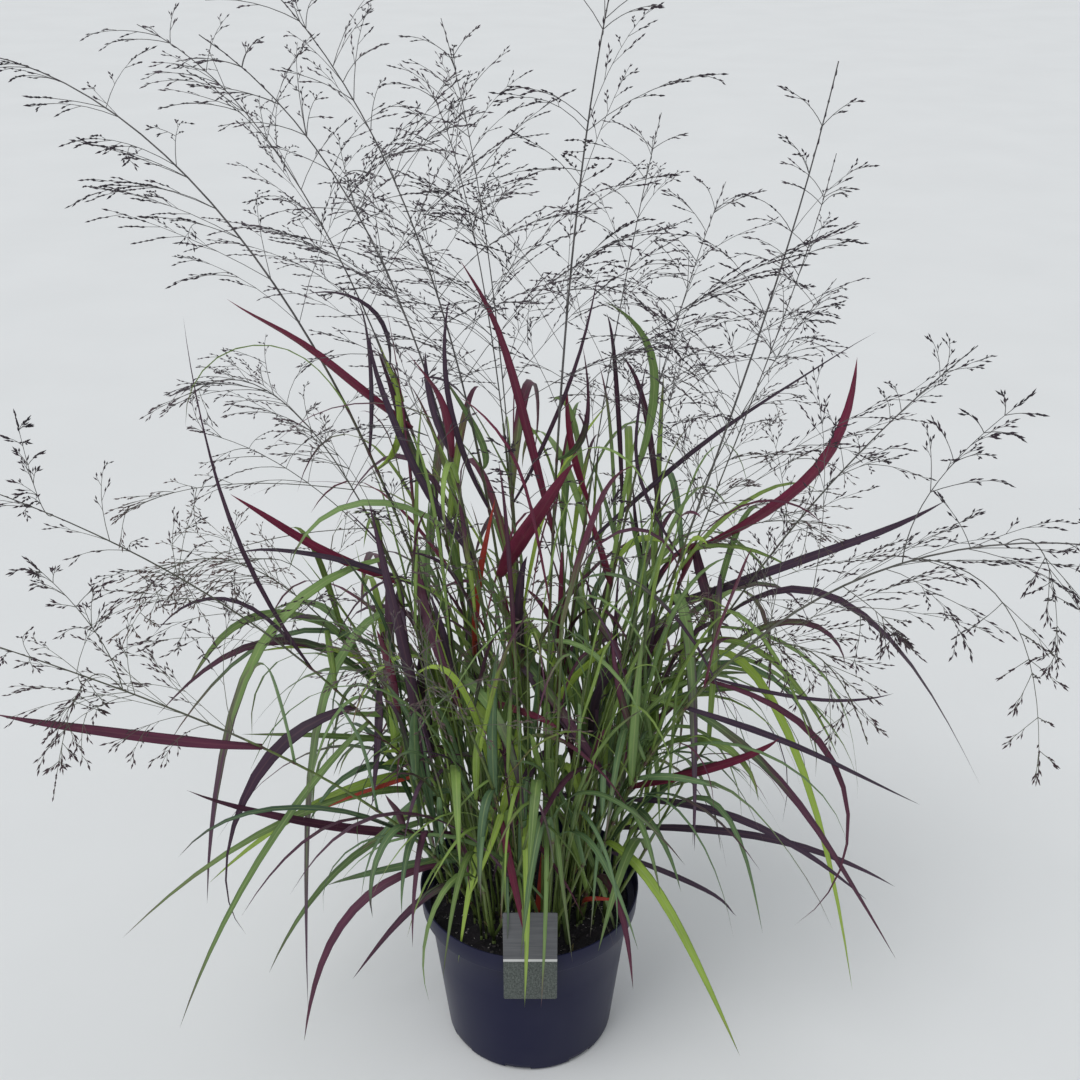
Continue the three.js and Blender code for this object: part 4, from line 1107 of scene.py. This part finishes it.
def add_blade(bm, leaf, look, draw, dry=0.0):
    """A blade that twists, waves a little and curls over towards its tip."""
    stops = np.array(LEAF_STOPS)
    at, along, across = leaf["curve"].frame(stops, leaf["aside"])
    above = np.cross(along, across)
    sway = min(5.0, 0.02 * math.dist(at[0], at[-1])) * np.sin(draw(4, 9) * stops + draw(0, 6.3))
    at = at + above * (sway * stops)[:, None]
    curl = draw(0.0, 0.7)
    curled = np.clip((stops - CURL_START) / (1 - CURL_START), 0, 1) ** 1.5
    bend = (leaf.get("curl", curl) * curled)[:, None]
    steps = np.diff(at, axis=0)
    down = above[1:] * np.sqrt((steps * steps).sum(axis=1, keepdims=True))
    steps = steps * np.cos(bend[1:]) - down * np.sin(bend[1:])
    at[1:] = at[0] + np.cumsum(steps, axis=0)
    along = unit(along * np.cos(bend) - above * np.sin(bend))
    above = np.cross(along, across)
    turn = (draw(-0.9, 0.9) * stops)[:, None]
    turned = across * np.cos(turn) + above * np.sin(turn)
    half = 0.5 * leaf["width"] * np.minimum(1, 0.55 + 1.8 * stops) * np.maximum(1 - stops**3.5, 0.03)
    half *= np.interp(stops, (0.4, 0.7), leaf.get("rolled", (1.0, 1.0)))
    clasp = 1 + 3.0 * np.clip(1 - stops / CLASP, 0, 1) ** 2
    carries = [carry(*place) for place in zip(at, along, turned, half, half * clasp)]
    flush, light, lime, wine = look
    values = {"flush": flush, "light": light, "lime": lime, "wine": wine}
    values.update({"along": list(LEAF_STOPS), "seed": draw(0, 1), "dry": dry})
    sweep(bm, lens, carries[:-1], values, 0, at[-1])


def add_stem(bm, curve, last, joints, radii):
    """A round stem that thins towards its top and swells a little at each joint."""
    stops = {last * k / 16 for k in range(17)}
    stops |= {t + d for t in joints for d in (-0.006, 0.0, 0.006) if 0 < t + d < last}
    stops = sorted(stops)
    at, along, across = curve.frame(np.array(stops), curve.aside())
    carries, swellings = [], []
    for k, t in enumerate(stops):
        near = min((abs(t - joint) for joint in joints), default=1)
        swellings.append(max(0, 1 - near / 0.008))
        radius = (radii[0] + (radii[1] - radii[0]) * t / last) * (1 + 0.35 * swellings[-1])
        carries.append(carry(at[k], along[k], across[k], radius, radius))
    sweep(bm, round_section, carries, {"joint": swellings}, 1)


def sink(bm, curve, radius):
    """Adds the stem's foot, down in the compost."""
    foot = curve.at(0)
    low = np.array((foot[0], foot[1], float(COMPOST_TOP - FOOT_DEPTH)))
    aside = curve.aside()
    carries = [carry(low, UP, aside, radius, radius), carry(foot, UP, aside, radius, radius)]
    sweep(bm, round_section, carries, {"joint": 0.0}, 1)


def look_of(draw, tint):
    """A tint's flush, painted light, lime and wine, a little changed from leaf to leaf."""
    flush, light, lime, wine = TINTS[tint]
    return flush, light + draw(-0.2, 0.2), lime + draw(-0.1, 0.05), wine + draw(-0.15, 0.0)


def drawn_look(draw, slot, leaf):
    """The look of a leaf without a tint. A share is flushed all over, and some more from the tip.
    Higher leaves are flushed more often, or are yellower and painted lighter, as if lit. Outer ones are
    painted darker and inner ones lighter, a painted light that comes through the clump.
    """
    x, y, z = leaf["curve"].at(0.5)
    high = min(1, max(0, (z - 300) / 350))
    outer = min(1, math.hypot(x, y) / 300)
    flushed = 0.05 + 0.17 * high
    kind = draw(0, 1)
    if kind < flushed:
        return draw(0.75, 1.1), draw(0.0, 0.7), draw(*GREENS[slot]), draw(0.2, 0.9)
    lime = draw(*GREENS[slot]) + 0.4 * high - 0.15
    if kind < 0.15 + 2 * flushed:
        return draw(0.35, 0.7), draw(0.2, 0.9), lime, draw(0.0, 0.5)
    # Painted light and shade: lighter high up and in the heart of the clump, darker at its edge.
    light = draw(0.1, 1.0) * (1.15 - 0.7 * outer) + 0.3 * high
    return draw(0.0, 0.25), light, lime - 0.2 * outer, draw(0.0, 0.7)


def add_extra_blade(bm, leaf, narrowing, high, slot, draw):
    """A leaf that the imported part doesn't have. It is slight, above all where it stands high."""
    leaf["width"] *= narrowing * min(1, high / leaf["curve"].at(0.5)[2])
    add_blade(bm, leaf, drawn_look(draw, slot, leaf), draw)


for marked in FINER:
    culms[marked[0]]["leaves"].append(hand_set(*marked))

burgundy_leaves = []
for index, culm in enumerate(culms):
    slot = LEAF_SLOTS[index % 3]
    draw = draws(6000 + index)
    bm = plant_bmesh()
    curve, spray = culm["curve"], culm["spray"]
    joints = sorted({leaf["t"] for leaf in culm["leaves"]})
    sink(bm, curve, STEM_RADIUS)
    add_stem(bm, curve, spray, joints, (STEM_RADIUS, 1.05))
    for leaf in sorted(culm["leaves"], key=lambda found: found["t"]):
        if leaf.get("apart"):
            burgundy_leaves.append(leaf)
        elif "tint" in leaf:
            add_blade(bm, leaf, look_of(draw, leaf["tint"]), draw)
        else:
            add_blade(bm, leaf, drawn_look(draw, slot, leaf), draw)
    for k in range(EXTRA_LEAVES):
        t = spray * draw(0.2, 0.6)
        leaf = drawn_leaf(draw, curve.at(t), bearing(curve.along(t)) + draw(-1.5, 1.5), 0.5, 0.5)
        add_extra_blade(bm, leaf, draw(0.35, 1.0), 400, slot, draw)
    finished(f"stem_{index + 1:02d}", bm, PLANT_FINISHES, [culm["name"]], slot)

for index, leaf in enumerate(burgundy_leaves):
    draw = draws(6100 + index)
    name = f"red_leaf_{index + 1:02d}"
    bm = plant_bmesh()
    add_blade(bm, leaf, look_of(draw, leaf["tint"]), draw)
    finished(f"burgundy_leaf_{index + 1:02d}", bm, PLANT_FINISHES[:1], [name], "leaf_burgundy")

# ---------------------------------------------------------------- tufts and tillers
# Leafy shoots without flowers. The tufts round the edge part into three from one foot. Between
# them and the flowering stems stand many thin young shoots, or tillers, with narrow leaves, and
# a few dry stubs of last year's stems.

TILLER_RADIUS = 1.2
TILLER_GROUPS = 6
TILLERS_IN_EACH = 14
STUBS_IN_EACH = 4

for index, tuft in enumerate(tufts):
    slot = LEAF_SLOTS[(index + 1) % 3]
    draw = draws(6200 + index)
    bm = plant_bmesh()
    sink(bm, tuft["shoots"][0]["curve"], STEM_RADIUS)
    for shoot in tuft["shoots"]:
        curve = shoot["curve"]
        joints = [leaf["t"] for leaf in shoot["leaves"] if leaf["t"] < 1]
        add_stem(bm, curve, 1.0, joints, (STEM_RADIUS, 1.1))
        for leaf in shoot["leaves"]:
            add_blade(bm, leaf, drawn_look(draw, slot, leaf), draw)
        t = draw(0.3, 0.95)
        leaf = drawn_leaf(draw, curve.at(t), tuft["outward"] + draw(-0.8, 0.8), 0.4, 0.6)
        add_extra_blade(bm, leaf, 1, 300, slot, draw)
    finished(f"shoots_{index + 1:02d}", bm, PLANT_FINISHES, [tuft["name"]], slot)

for batch in range(TILLER_GROUPS):
    slot = LEAF_SLOTS[batch % 3]
    draw = draws(6300 + batch)
    bm = plant_bmesh()
    for k in range(TILLERS_IN_EACH):
        angle = draw(0, 2 * math.pi)
        out = heading(angle)
        foot = out * (78 * math.sqrt(draw(0, 1)))
        tall = draw(150, 400)
        lean = draw(5, 40) + 0.5 * math.hypot(foot[0], foot[1])
        ground = np.array((foot[0], foot[1], float(COMPOST_TOP)))
        knee = ground + out * (0.4 * lean) + UP * (0.6 * tall)
        curve = stem_curve(foot, knee, ground + out * lean + UP * tall)
        sink(bm, curve, TILLER_RADIUS)
        add_stem(bm, curve, 1.0, [0.5], (TILLER_RADIUS, 0.7))
        for t in (0.5, 1.0):
            leaf = drawn_leaf(draw, curve.at(t), angle + draw(-1.4, 1.4), 0.6, 0.55)
            add_extra_blade(bm, leaf, draw(0.4, 1.0), 350, slot, draw)
    for k in range(STUBS_IN_EACH):
        angle = draw(0, 2 * math.pi)
        foot = heading(angle) * draw(20, 92)
        root = np.array((foot[0], foot[1], COMPOST_TOP - 6.0))
        way = unit(heading(angle + draw(-1.2, 1.2)) * draw(0.1, 0.9) + UP) * draw(28, 70)
        stub = {"curve": Curve(root, root + 0.5 * way, root + way), "aside": heading(angle + 1.6)}
        stub["width"] = draw(3.0, 5.5)
        add_blade(bm, stub, (0.0, 0.5, 0.8, 0.5), draw, draw(0.6, 1.0))
    finished(f"tillers_{batch + 1}", bm, PLANT_FINISHES, slot=slot)

# ---------------------------------------------------------------- flower sprays
# Open, airy sprays: whorls of hair-fine branches that arch and sag, each with side branches that
# carry small pointed spikelets in a row. Dry, dark purple-grey, on branches of a greyer green.


def spray_finish(name, dark, light, low):
    """Dull and patchy, and warmer or greener low on the clump."""
    finish, tree, shader, where = new_finish(name)
    colour, patch = mottled(tree, where, 60, 2, (0.35, 0.65), (dark, light))
    lowness = span(tree, height_of(tree, where), 0.72, 0.45, 0.0, 0.6)
    surface = {
        "Base Color": blend_colours(tree, lowness, colour, low),
        "Roughness": span(tree, patch, 0.3, 0.7, 0.6, 0.8),
        "Normal": relief(tree, speckle(tree, where, 1500, 1), 0.2, 0.0002),
    }
    fill_sockets(tree, shader, surface)
    return finish


ripe = spray_finish("ripe_spikelets", (0.010, 0.006, 0.013), (0.040, 0.022, 0.036), (0.080, 0.040, 0.045))
young = spray_finish("young_spikelets", (0.030, 0.024, 0.033), (0.100, 0.072, 0.090), (0.190, 0.105, 0.080))
branch = spray_finish("branches", (0.065, 0.062, 0.062), (0.130, 0.120, 0.120), (0.115, 0.125, 0.060))

# Ripe sprays are the darkest and most open, and have the fullest spikelets. The others are paler
# and finer. Sizes are shares of the spikelet that is modelled, the axis is given by its radius,
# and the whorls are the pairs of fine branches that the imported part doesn't have.
RIPE = {"finish": ripe, "sizes": (1.05, 1.5), "axis": 1.05, "whorls": 5}
YOUNG = {"finish": young, "sizes": (0.85, 1.3), "axis": 0.75, "whorls": 9}
RIPE_SPRAYS = (0, 5, 7, 9, 10, 11, 14, 15)
SIDE_AXIS = 0.45
SIDE_WHORLS = 6
BRANCH_RADIUS = 0.30
TWIG_RADIUS = 0.20
FORK = 0.45  # where along a branch its fork leaves it
SPIKELET_LENGTH = 6.2
SEAT_GAP = 6.2  # from one spikelet to the next along a side branch


def kind_of(index):
    return RIPE if index in RIPE_SPRAYS else YOUNG


def spikelet_mesh():
    """A pointed spikelet on its short stalk, standing on the origin."""
    bm = bmesh.new()
    ring = bmesh.ops.create_circle(bm, segments=4, radius=0.14)["verts"]
    edges = list({edge for vert in ring for edge in vert.link_edges})
    bmesh.ops.contextual_create(bm, geom=edges)
    for rise, wide in ((1.6, 1.0), (1.5, 4.7), (1.5, 0.75)):
        edges, ring = grow_ring(bm, edges)
        bmesh.ops.translate(bm, vec=(0, 0, rise), verts=ring)
        bmesh.ops.scale(bm, vec=(wide, wide, 1), verts=ring)
    bmesh.ops.pointmerge(bm, verts=ring, merge_co=(0, 0, SPIKELET_LENGTH))
    bmesh.ops.recalc_face_normals(bm, faces=bm.faces)
    mesh = bpy.data.meshes.new("spikelet")
    bm.to_mesh(mesh)
    bm.free()
    return mesh


# One spikelet's mesh is moved to each seat in turn and copied there, from its corners at rest.
SPIKELET = spikelet_mesh()
SPIKELET_CORNERS = np.empty(3 * len(SPIKELET.vertices), np.float32)
SPIKELET.vertices.foreach_get("co", SPIKELET_CORNERS)


def drawn_twig(draw, root, along, angle, long):
    """A branch that leaves its parent at a slant, bends outwards and sags."""
    out = heading(angle)
    slant = unit(along + out * draw(0.7, 1.2))
    bend = root + slant * (long * 0.55)
    onward = unit(slant + out * 0.5 - UP * draw(0.1, 0.8))
    return Curve(root, bend, bend + onward * (long * 0.5))


def add_spikelet(bm, at, along, across, size):
    SPIKELET.vertices.foreach_set("co", SPIKELET_CORNERS)
    place = carry(at, along, across, size, size)
    place.col[2].xyz *= size
    SPIKELET.transform(place)
    bm.from_mesh(SPIKELET)


def spray_branches(draw, primary, reach):
    """The side branches of a primary branch, and the places of the spikelets on all of them."""
    branches, seats = [], []
    count = max(3, round(reach / 22))
    for k in range(count):
        t = 0.25 + 0.68 * (k + draw(0.1, 0.9)) / count
        root = primary.at(t)
        along = primary.along(t)
        side = unit(np.cross(along, UP)) * (1 if k % 2 else -1)
        way = unit(along + side * draw(0.15, 0.65) + UP * draw(-0.35, 0.25))
        long = reach * draw(0.16, 0.30) * (1.1 - 0.45 * t)
        end = root + way * long + along * (0.08 * long) - UP * (draw(0.0, 0.2) * long)
        branch = Curve(root, root + way * (0.55 * long), end)
        branches.append((branch, TWIG_RADIUS))
        seats.append((branch, 0.25, max(2, round(long / SEAT_GAP))))
    seats.append((primary, 0.7, max(2, round(reach / 30))))
    return branches, seats


def free_branches(draw, curve, spray, long, whorls):
    """Branches in pairs all along a spray's axis, each with its side branches and spikelets."""
    branches, seats = [], []
    for w in range(whorls):
        share = w / whorls
        t = spray + (1 - spray) * (0.05 + 0.88 * (w + draw(0.1, 0.9)) / whorls)
        for k in range(2):
            reach = long * draw(0.45, 0.95) * (1 - 0.75 * share)
            primary = drawn_twig(draw, curve.at(t), curve.along(t), draw(0, 2 * math.pi), reach)
            more_branches, more_seats = spray_branches(draw, primary, reach)
            branches += [(primary, BRANCH_RADIUS)] + more_branches
            seats += more_seats
    return branches, seats + [(curve, 0.9, 7)]


def panicle(culm, index):
    """A spray's branches and seats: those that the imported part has, and many finer ones."""
    draw = draws(4000 + index)
    extra = draws(7000 + index)
    name = f"panicle_{index + 1:02d}"
    curve, spray, long = culm["curve"], culm["spray"], culm["long"]
    aside = curve.aside()
    branches, seats = free_branches(extra, curve, spray, long, kind_of(index)["whorls"])

    def twig_from(root, along, angle, spread, reach):
        return placed(
            lambda: drawn_twig(draw, root, along, angle + draw(-spread, spread), reach * draw(0.8, 1.2)),
            lambda twig: round_balls(twig, [0, FORK, 1], TWIG_ROOM, name, 6),
            name,
        )

    def dress(primary, reach):
        branches.append((primary, BRANCH_RADIUS))
        more_branches, more_seats = spray_branches(extra, primary, reach)
        branches.extend(more_branches)
        seats.extend(more_seats)

    for w, t in enumerate(whorl_stops(spray)):
        share = w / 4
        at, along, _ = curve.frame(t, aside)
        for k, part in enumerate((1.1, 0.7)):
            reach = long * part * (1 - 0.72 * share)
            primary = twig_from(at, along, 2.4 * w + 2.3 * k, 0.6, reach)
            if not primary:
                continue
            dress(primary, reach)
            if w < 3:
                fork_at, fork_along, _ = primary.frame(FORK, aside)
                fork = twig_from(fork_at, fork_along, bearing(fork_along), 1.6, 0.5 * reach)
                if fork:
                    dress(fork, 0.5 * reach)
    return branches, seats


def spray_bmesh(draw, curve, first, axis, branches, seats, sizes):
    """The branches as fine round lines, and a spikelet on each seat."""
    lines = bpy.data.curves.new("branches", "CURVE")
    lines.dimensions = "3D"
    lines.bevel_depth = 1.0
    lines.bevel_resolution = 0
    lines.use_fill_caps = True
    strands = [(curve, axis, first, 14)] + [(*branch, 0.0, 6) for branch in branches]
    for strand, radius, start, steps in strands:
        points = strand.at(np.linspace(start, 1, steps + 1))
        line = lines.splines.new("POLY")
        line.points.add(steps)
        for k, (point, place) in enumerate(zip(line.points, points)):
            point.co = (*place, 1)
            point.radius = radius * (1 - 0.6 * k / steps) + 0.05
    drawn = bpy.data.objects.new("branches", lines)
    mesh = bpy.data.meshes.new_from_object(drawn)
    bpy.data.objects.remove(drawn)
    bm = bmesh.new()
    bm.from_mesh(mesh)
    for face in bm.faces:
        face.material_index = 1
    for seat, start, count in seats:
        stops = start + (0.99 - start) * (np.arange(count) + 0.5) / count
        at, along, across = seat.frame(stops, seat.aside())
        for k in range(count):
            turn = draw(-0.5, 0.5) + (math.pi if k % 2 else 0)
            off = across[k] * math.cos(turn) + np.cross(along[k], across[k]) * math.sin(turn)
            way = unit(along[k] + off * draw(0.1, 0.4))
            add_spikelet(bm, at[k], way, unit(np.cross(way, off)), draw(*sizes))
    return bm


for index, culm in enumerate(culms):
    kind = kind_of(index)
    draw = draws(7500 + index)
    bm = spray_bmesh(draw, culm["curve"], culm["spray"], kind["axis"], *panicle(culm, index), kind["sizes"])
    finished(f"spray_{index + 1:02d}", bm, [kind["finish"], branch], [f"panicle_{index + 1:02d}"], "spray")

# Side sprays, fine ones in the heart of the clump and ripe ones that droop at its sides: the stem
# that bears each, where on it (over 1 is within its own spray), the point half way, the tip, and
# the reach of the lowest branch.
SIDE_SPRAYS = [
    (3, 0.81, (-79, -66, 702), (-102, -76, 788), 100),
    (12, 0.84, (-216, 36, 628), (-299, 26, 672), 110),
    (6, 0.85, (117, 22, 674), (139, 22, 757), 100),
    (3, 0.45, (-49, -79, 549), (-78, -109, 632), 80),
    (18, 0.79, (141, 35, 557), (188, 5, 633), 90),
    (8, 0.93, (221, 24, 583), (276, 14, 568), 90),
    (13, 0.91, (-226, 6, 552), (-302, -3, 515), 100),
    (5, 0.75, (2, -47, 639), (-17, -67, 703), 70),
    (15, 0.9, (212, -9, 518), (226, -19, 438), 80),
    (0, 0.46, (-94, -38, 576), (-119, -58, 653), 90),
    (5, 0.58, (50, -46, 580), (77, -66, 657), 90),
    (4, 0.35, (-7, -17, 481), (11, -37, 575), 80),
    (12, 0.82, (-158, 15, 638), (-206, 5, 690), 90),
    (6, 0.44, (102, -27, 487), (151, -57, 546), 80),
    (9, 1.51, (305, -186, 722), (368, -176, 787), 70),
    (9, 1.55, (382, -182, 598), (432, -165, 435), 70),
    (9, 1.75, (386, -213, 667), (423, -183, 546), 60),
    (9, 1.35, (276, -183, 605), (303, -183, 576), 40),
    (10, 1.68, (-413, -57, 648), (-419, -57, 723), 40),
    (11, 1.24, (-354, -145, 573), (-400, -135, 629), 60),
    (11, 1.24, (-371, -145, 513), (-413, -145, 396), 50),
    (12, 1.04, (-297, 45, 608), (-382, 35, 577), 90),
    (12, 0.92, (-304, 39, 534), (-389, 19, 451), 80),
]
for index, (culm_index, share, middle, tip, long) in enumerate(SIDE_SPRAYS):
    culm = culms[culm_index]
    curve = arch_through(culm["curve"].at(share * culm["spray"]), middle, tip)
    kind = kind_of(culm_index)
    draw = draws(7700 + index)
    branches, seats = free_branches(draw, curve, 0.35, long, SIDE_WHORLS)
    bm = spray_bmesh(draw, curve, 0.0, SIDE_AXIS, branches, seats, kind["sizes"])
    finished(f"side_spray_{index + 1:02d}", bm, [kind["finish"], branch], slot="spray")

# ---------------------------------------------------------------- floor, lights and camera
# A plain pale floor that runs on behind the plant, the soft light of a bright room with a broad
# window high on its left, and a camera that looks a little down on the clump, label foremost.

FLOOR_HALF = 30  # this and the camera's place are in metres
FLOOR_TINTS = ((0.800, 0.810, 0.805), (0.825, 0.835, 0.830))
SKY = (0.93, 0.96, 1.0)
SKY_STRENGTH = 0.62
WINDOW_STRENGTH = 1.05
WINDOW_SPREAD = 32  # in degrees, as the next two are
WINDOW_TURN = (22, -24, 0)
CAMERA_TURN = (62.5, 0, 0)
CAMERA_PLACE = (0.011, -1.122, 1.160)
FOCAL_LENGTH = 46.67

bm = bmesh.new()
bmesh.ops.create_grid(bm, x_segments=1, y_segments=1, size=FLOOR_HALF)
floor_mesh = bpy.data.meshes.new("floor")
bm.to_mesh(floor_mesh)
bm.free()
floor = bpy.data.objects.new("floor", floor_mesh)
bpy.context.scene.collection.objects.link(floor)
finish, tree, shader, where = new_finish("pale_floor")
tint, _ = mottled(tree, where, 3, 3, (0.3, 0.7), FLOOR_TINTS)
fill_sockets(tree, shader, {"Base Color": tint, "Roughness": 0.75, "Specular IOR Level": 0.2})
floor_mesh.materials.append(finish)

window = bpy.data.lights.new("window", "SUN")
window.energy = WINDOW_STRENGTH
window.angle = math.radians(WINDOW_SPREAD)
light = bpy.data.objects.new("window", window)
light.rotation_euler = [math.radians(turn) for turn in WINDOW_TURN]
bpy.context.scene.collection.objects.link(light)

world = bpy.data.worlds.new("soft_room")
world.use_nodes = True
sky = world.node_tree.nodes["Background"]
fill_sockets(world.node_tree, sky, {"Color": SKY, "Strength": SKY_STRENGTH})
bpy.context.scene.world = world
bpy.context.scene.view_settings.view_transform = "Standard"

lens_data = bpy.data.cameras.new("camera")
lens_data.lens = FOCAL_LENGTH
lens_data.sensor_width = 36
camera = bpy.data.objects.new("camera", lens_data)
camera.location = CAMERA_PLACE
camera.rotation_euler = [math.radians(turn) for turn in CAMERA_TURN]
bpy.context.scene.collection.objects.link(camera)
bpy.context.scene.camera = camera
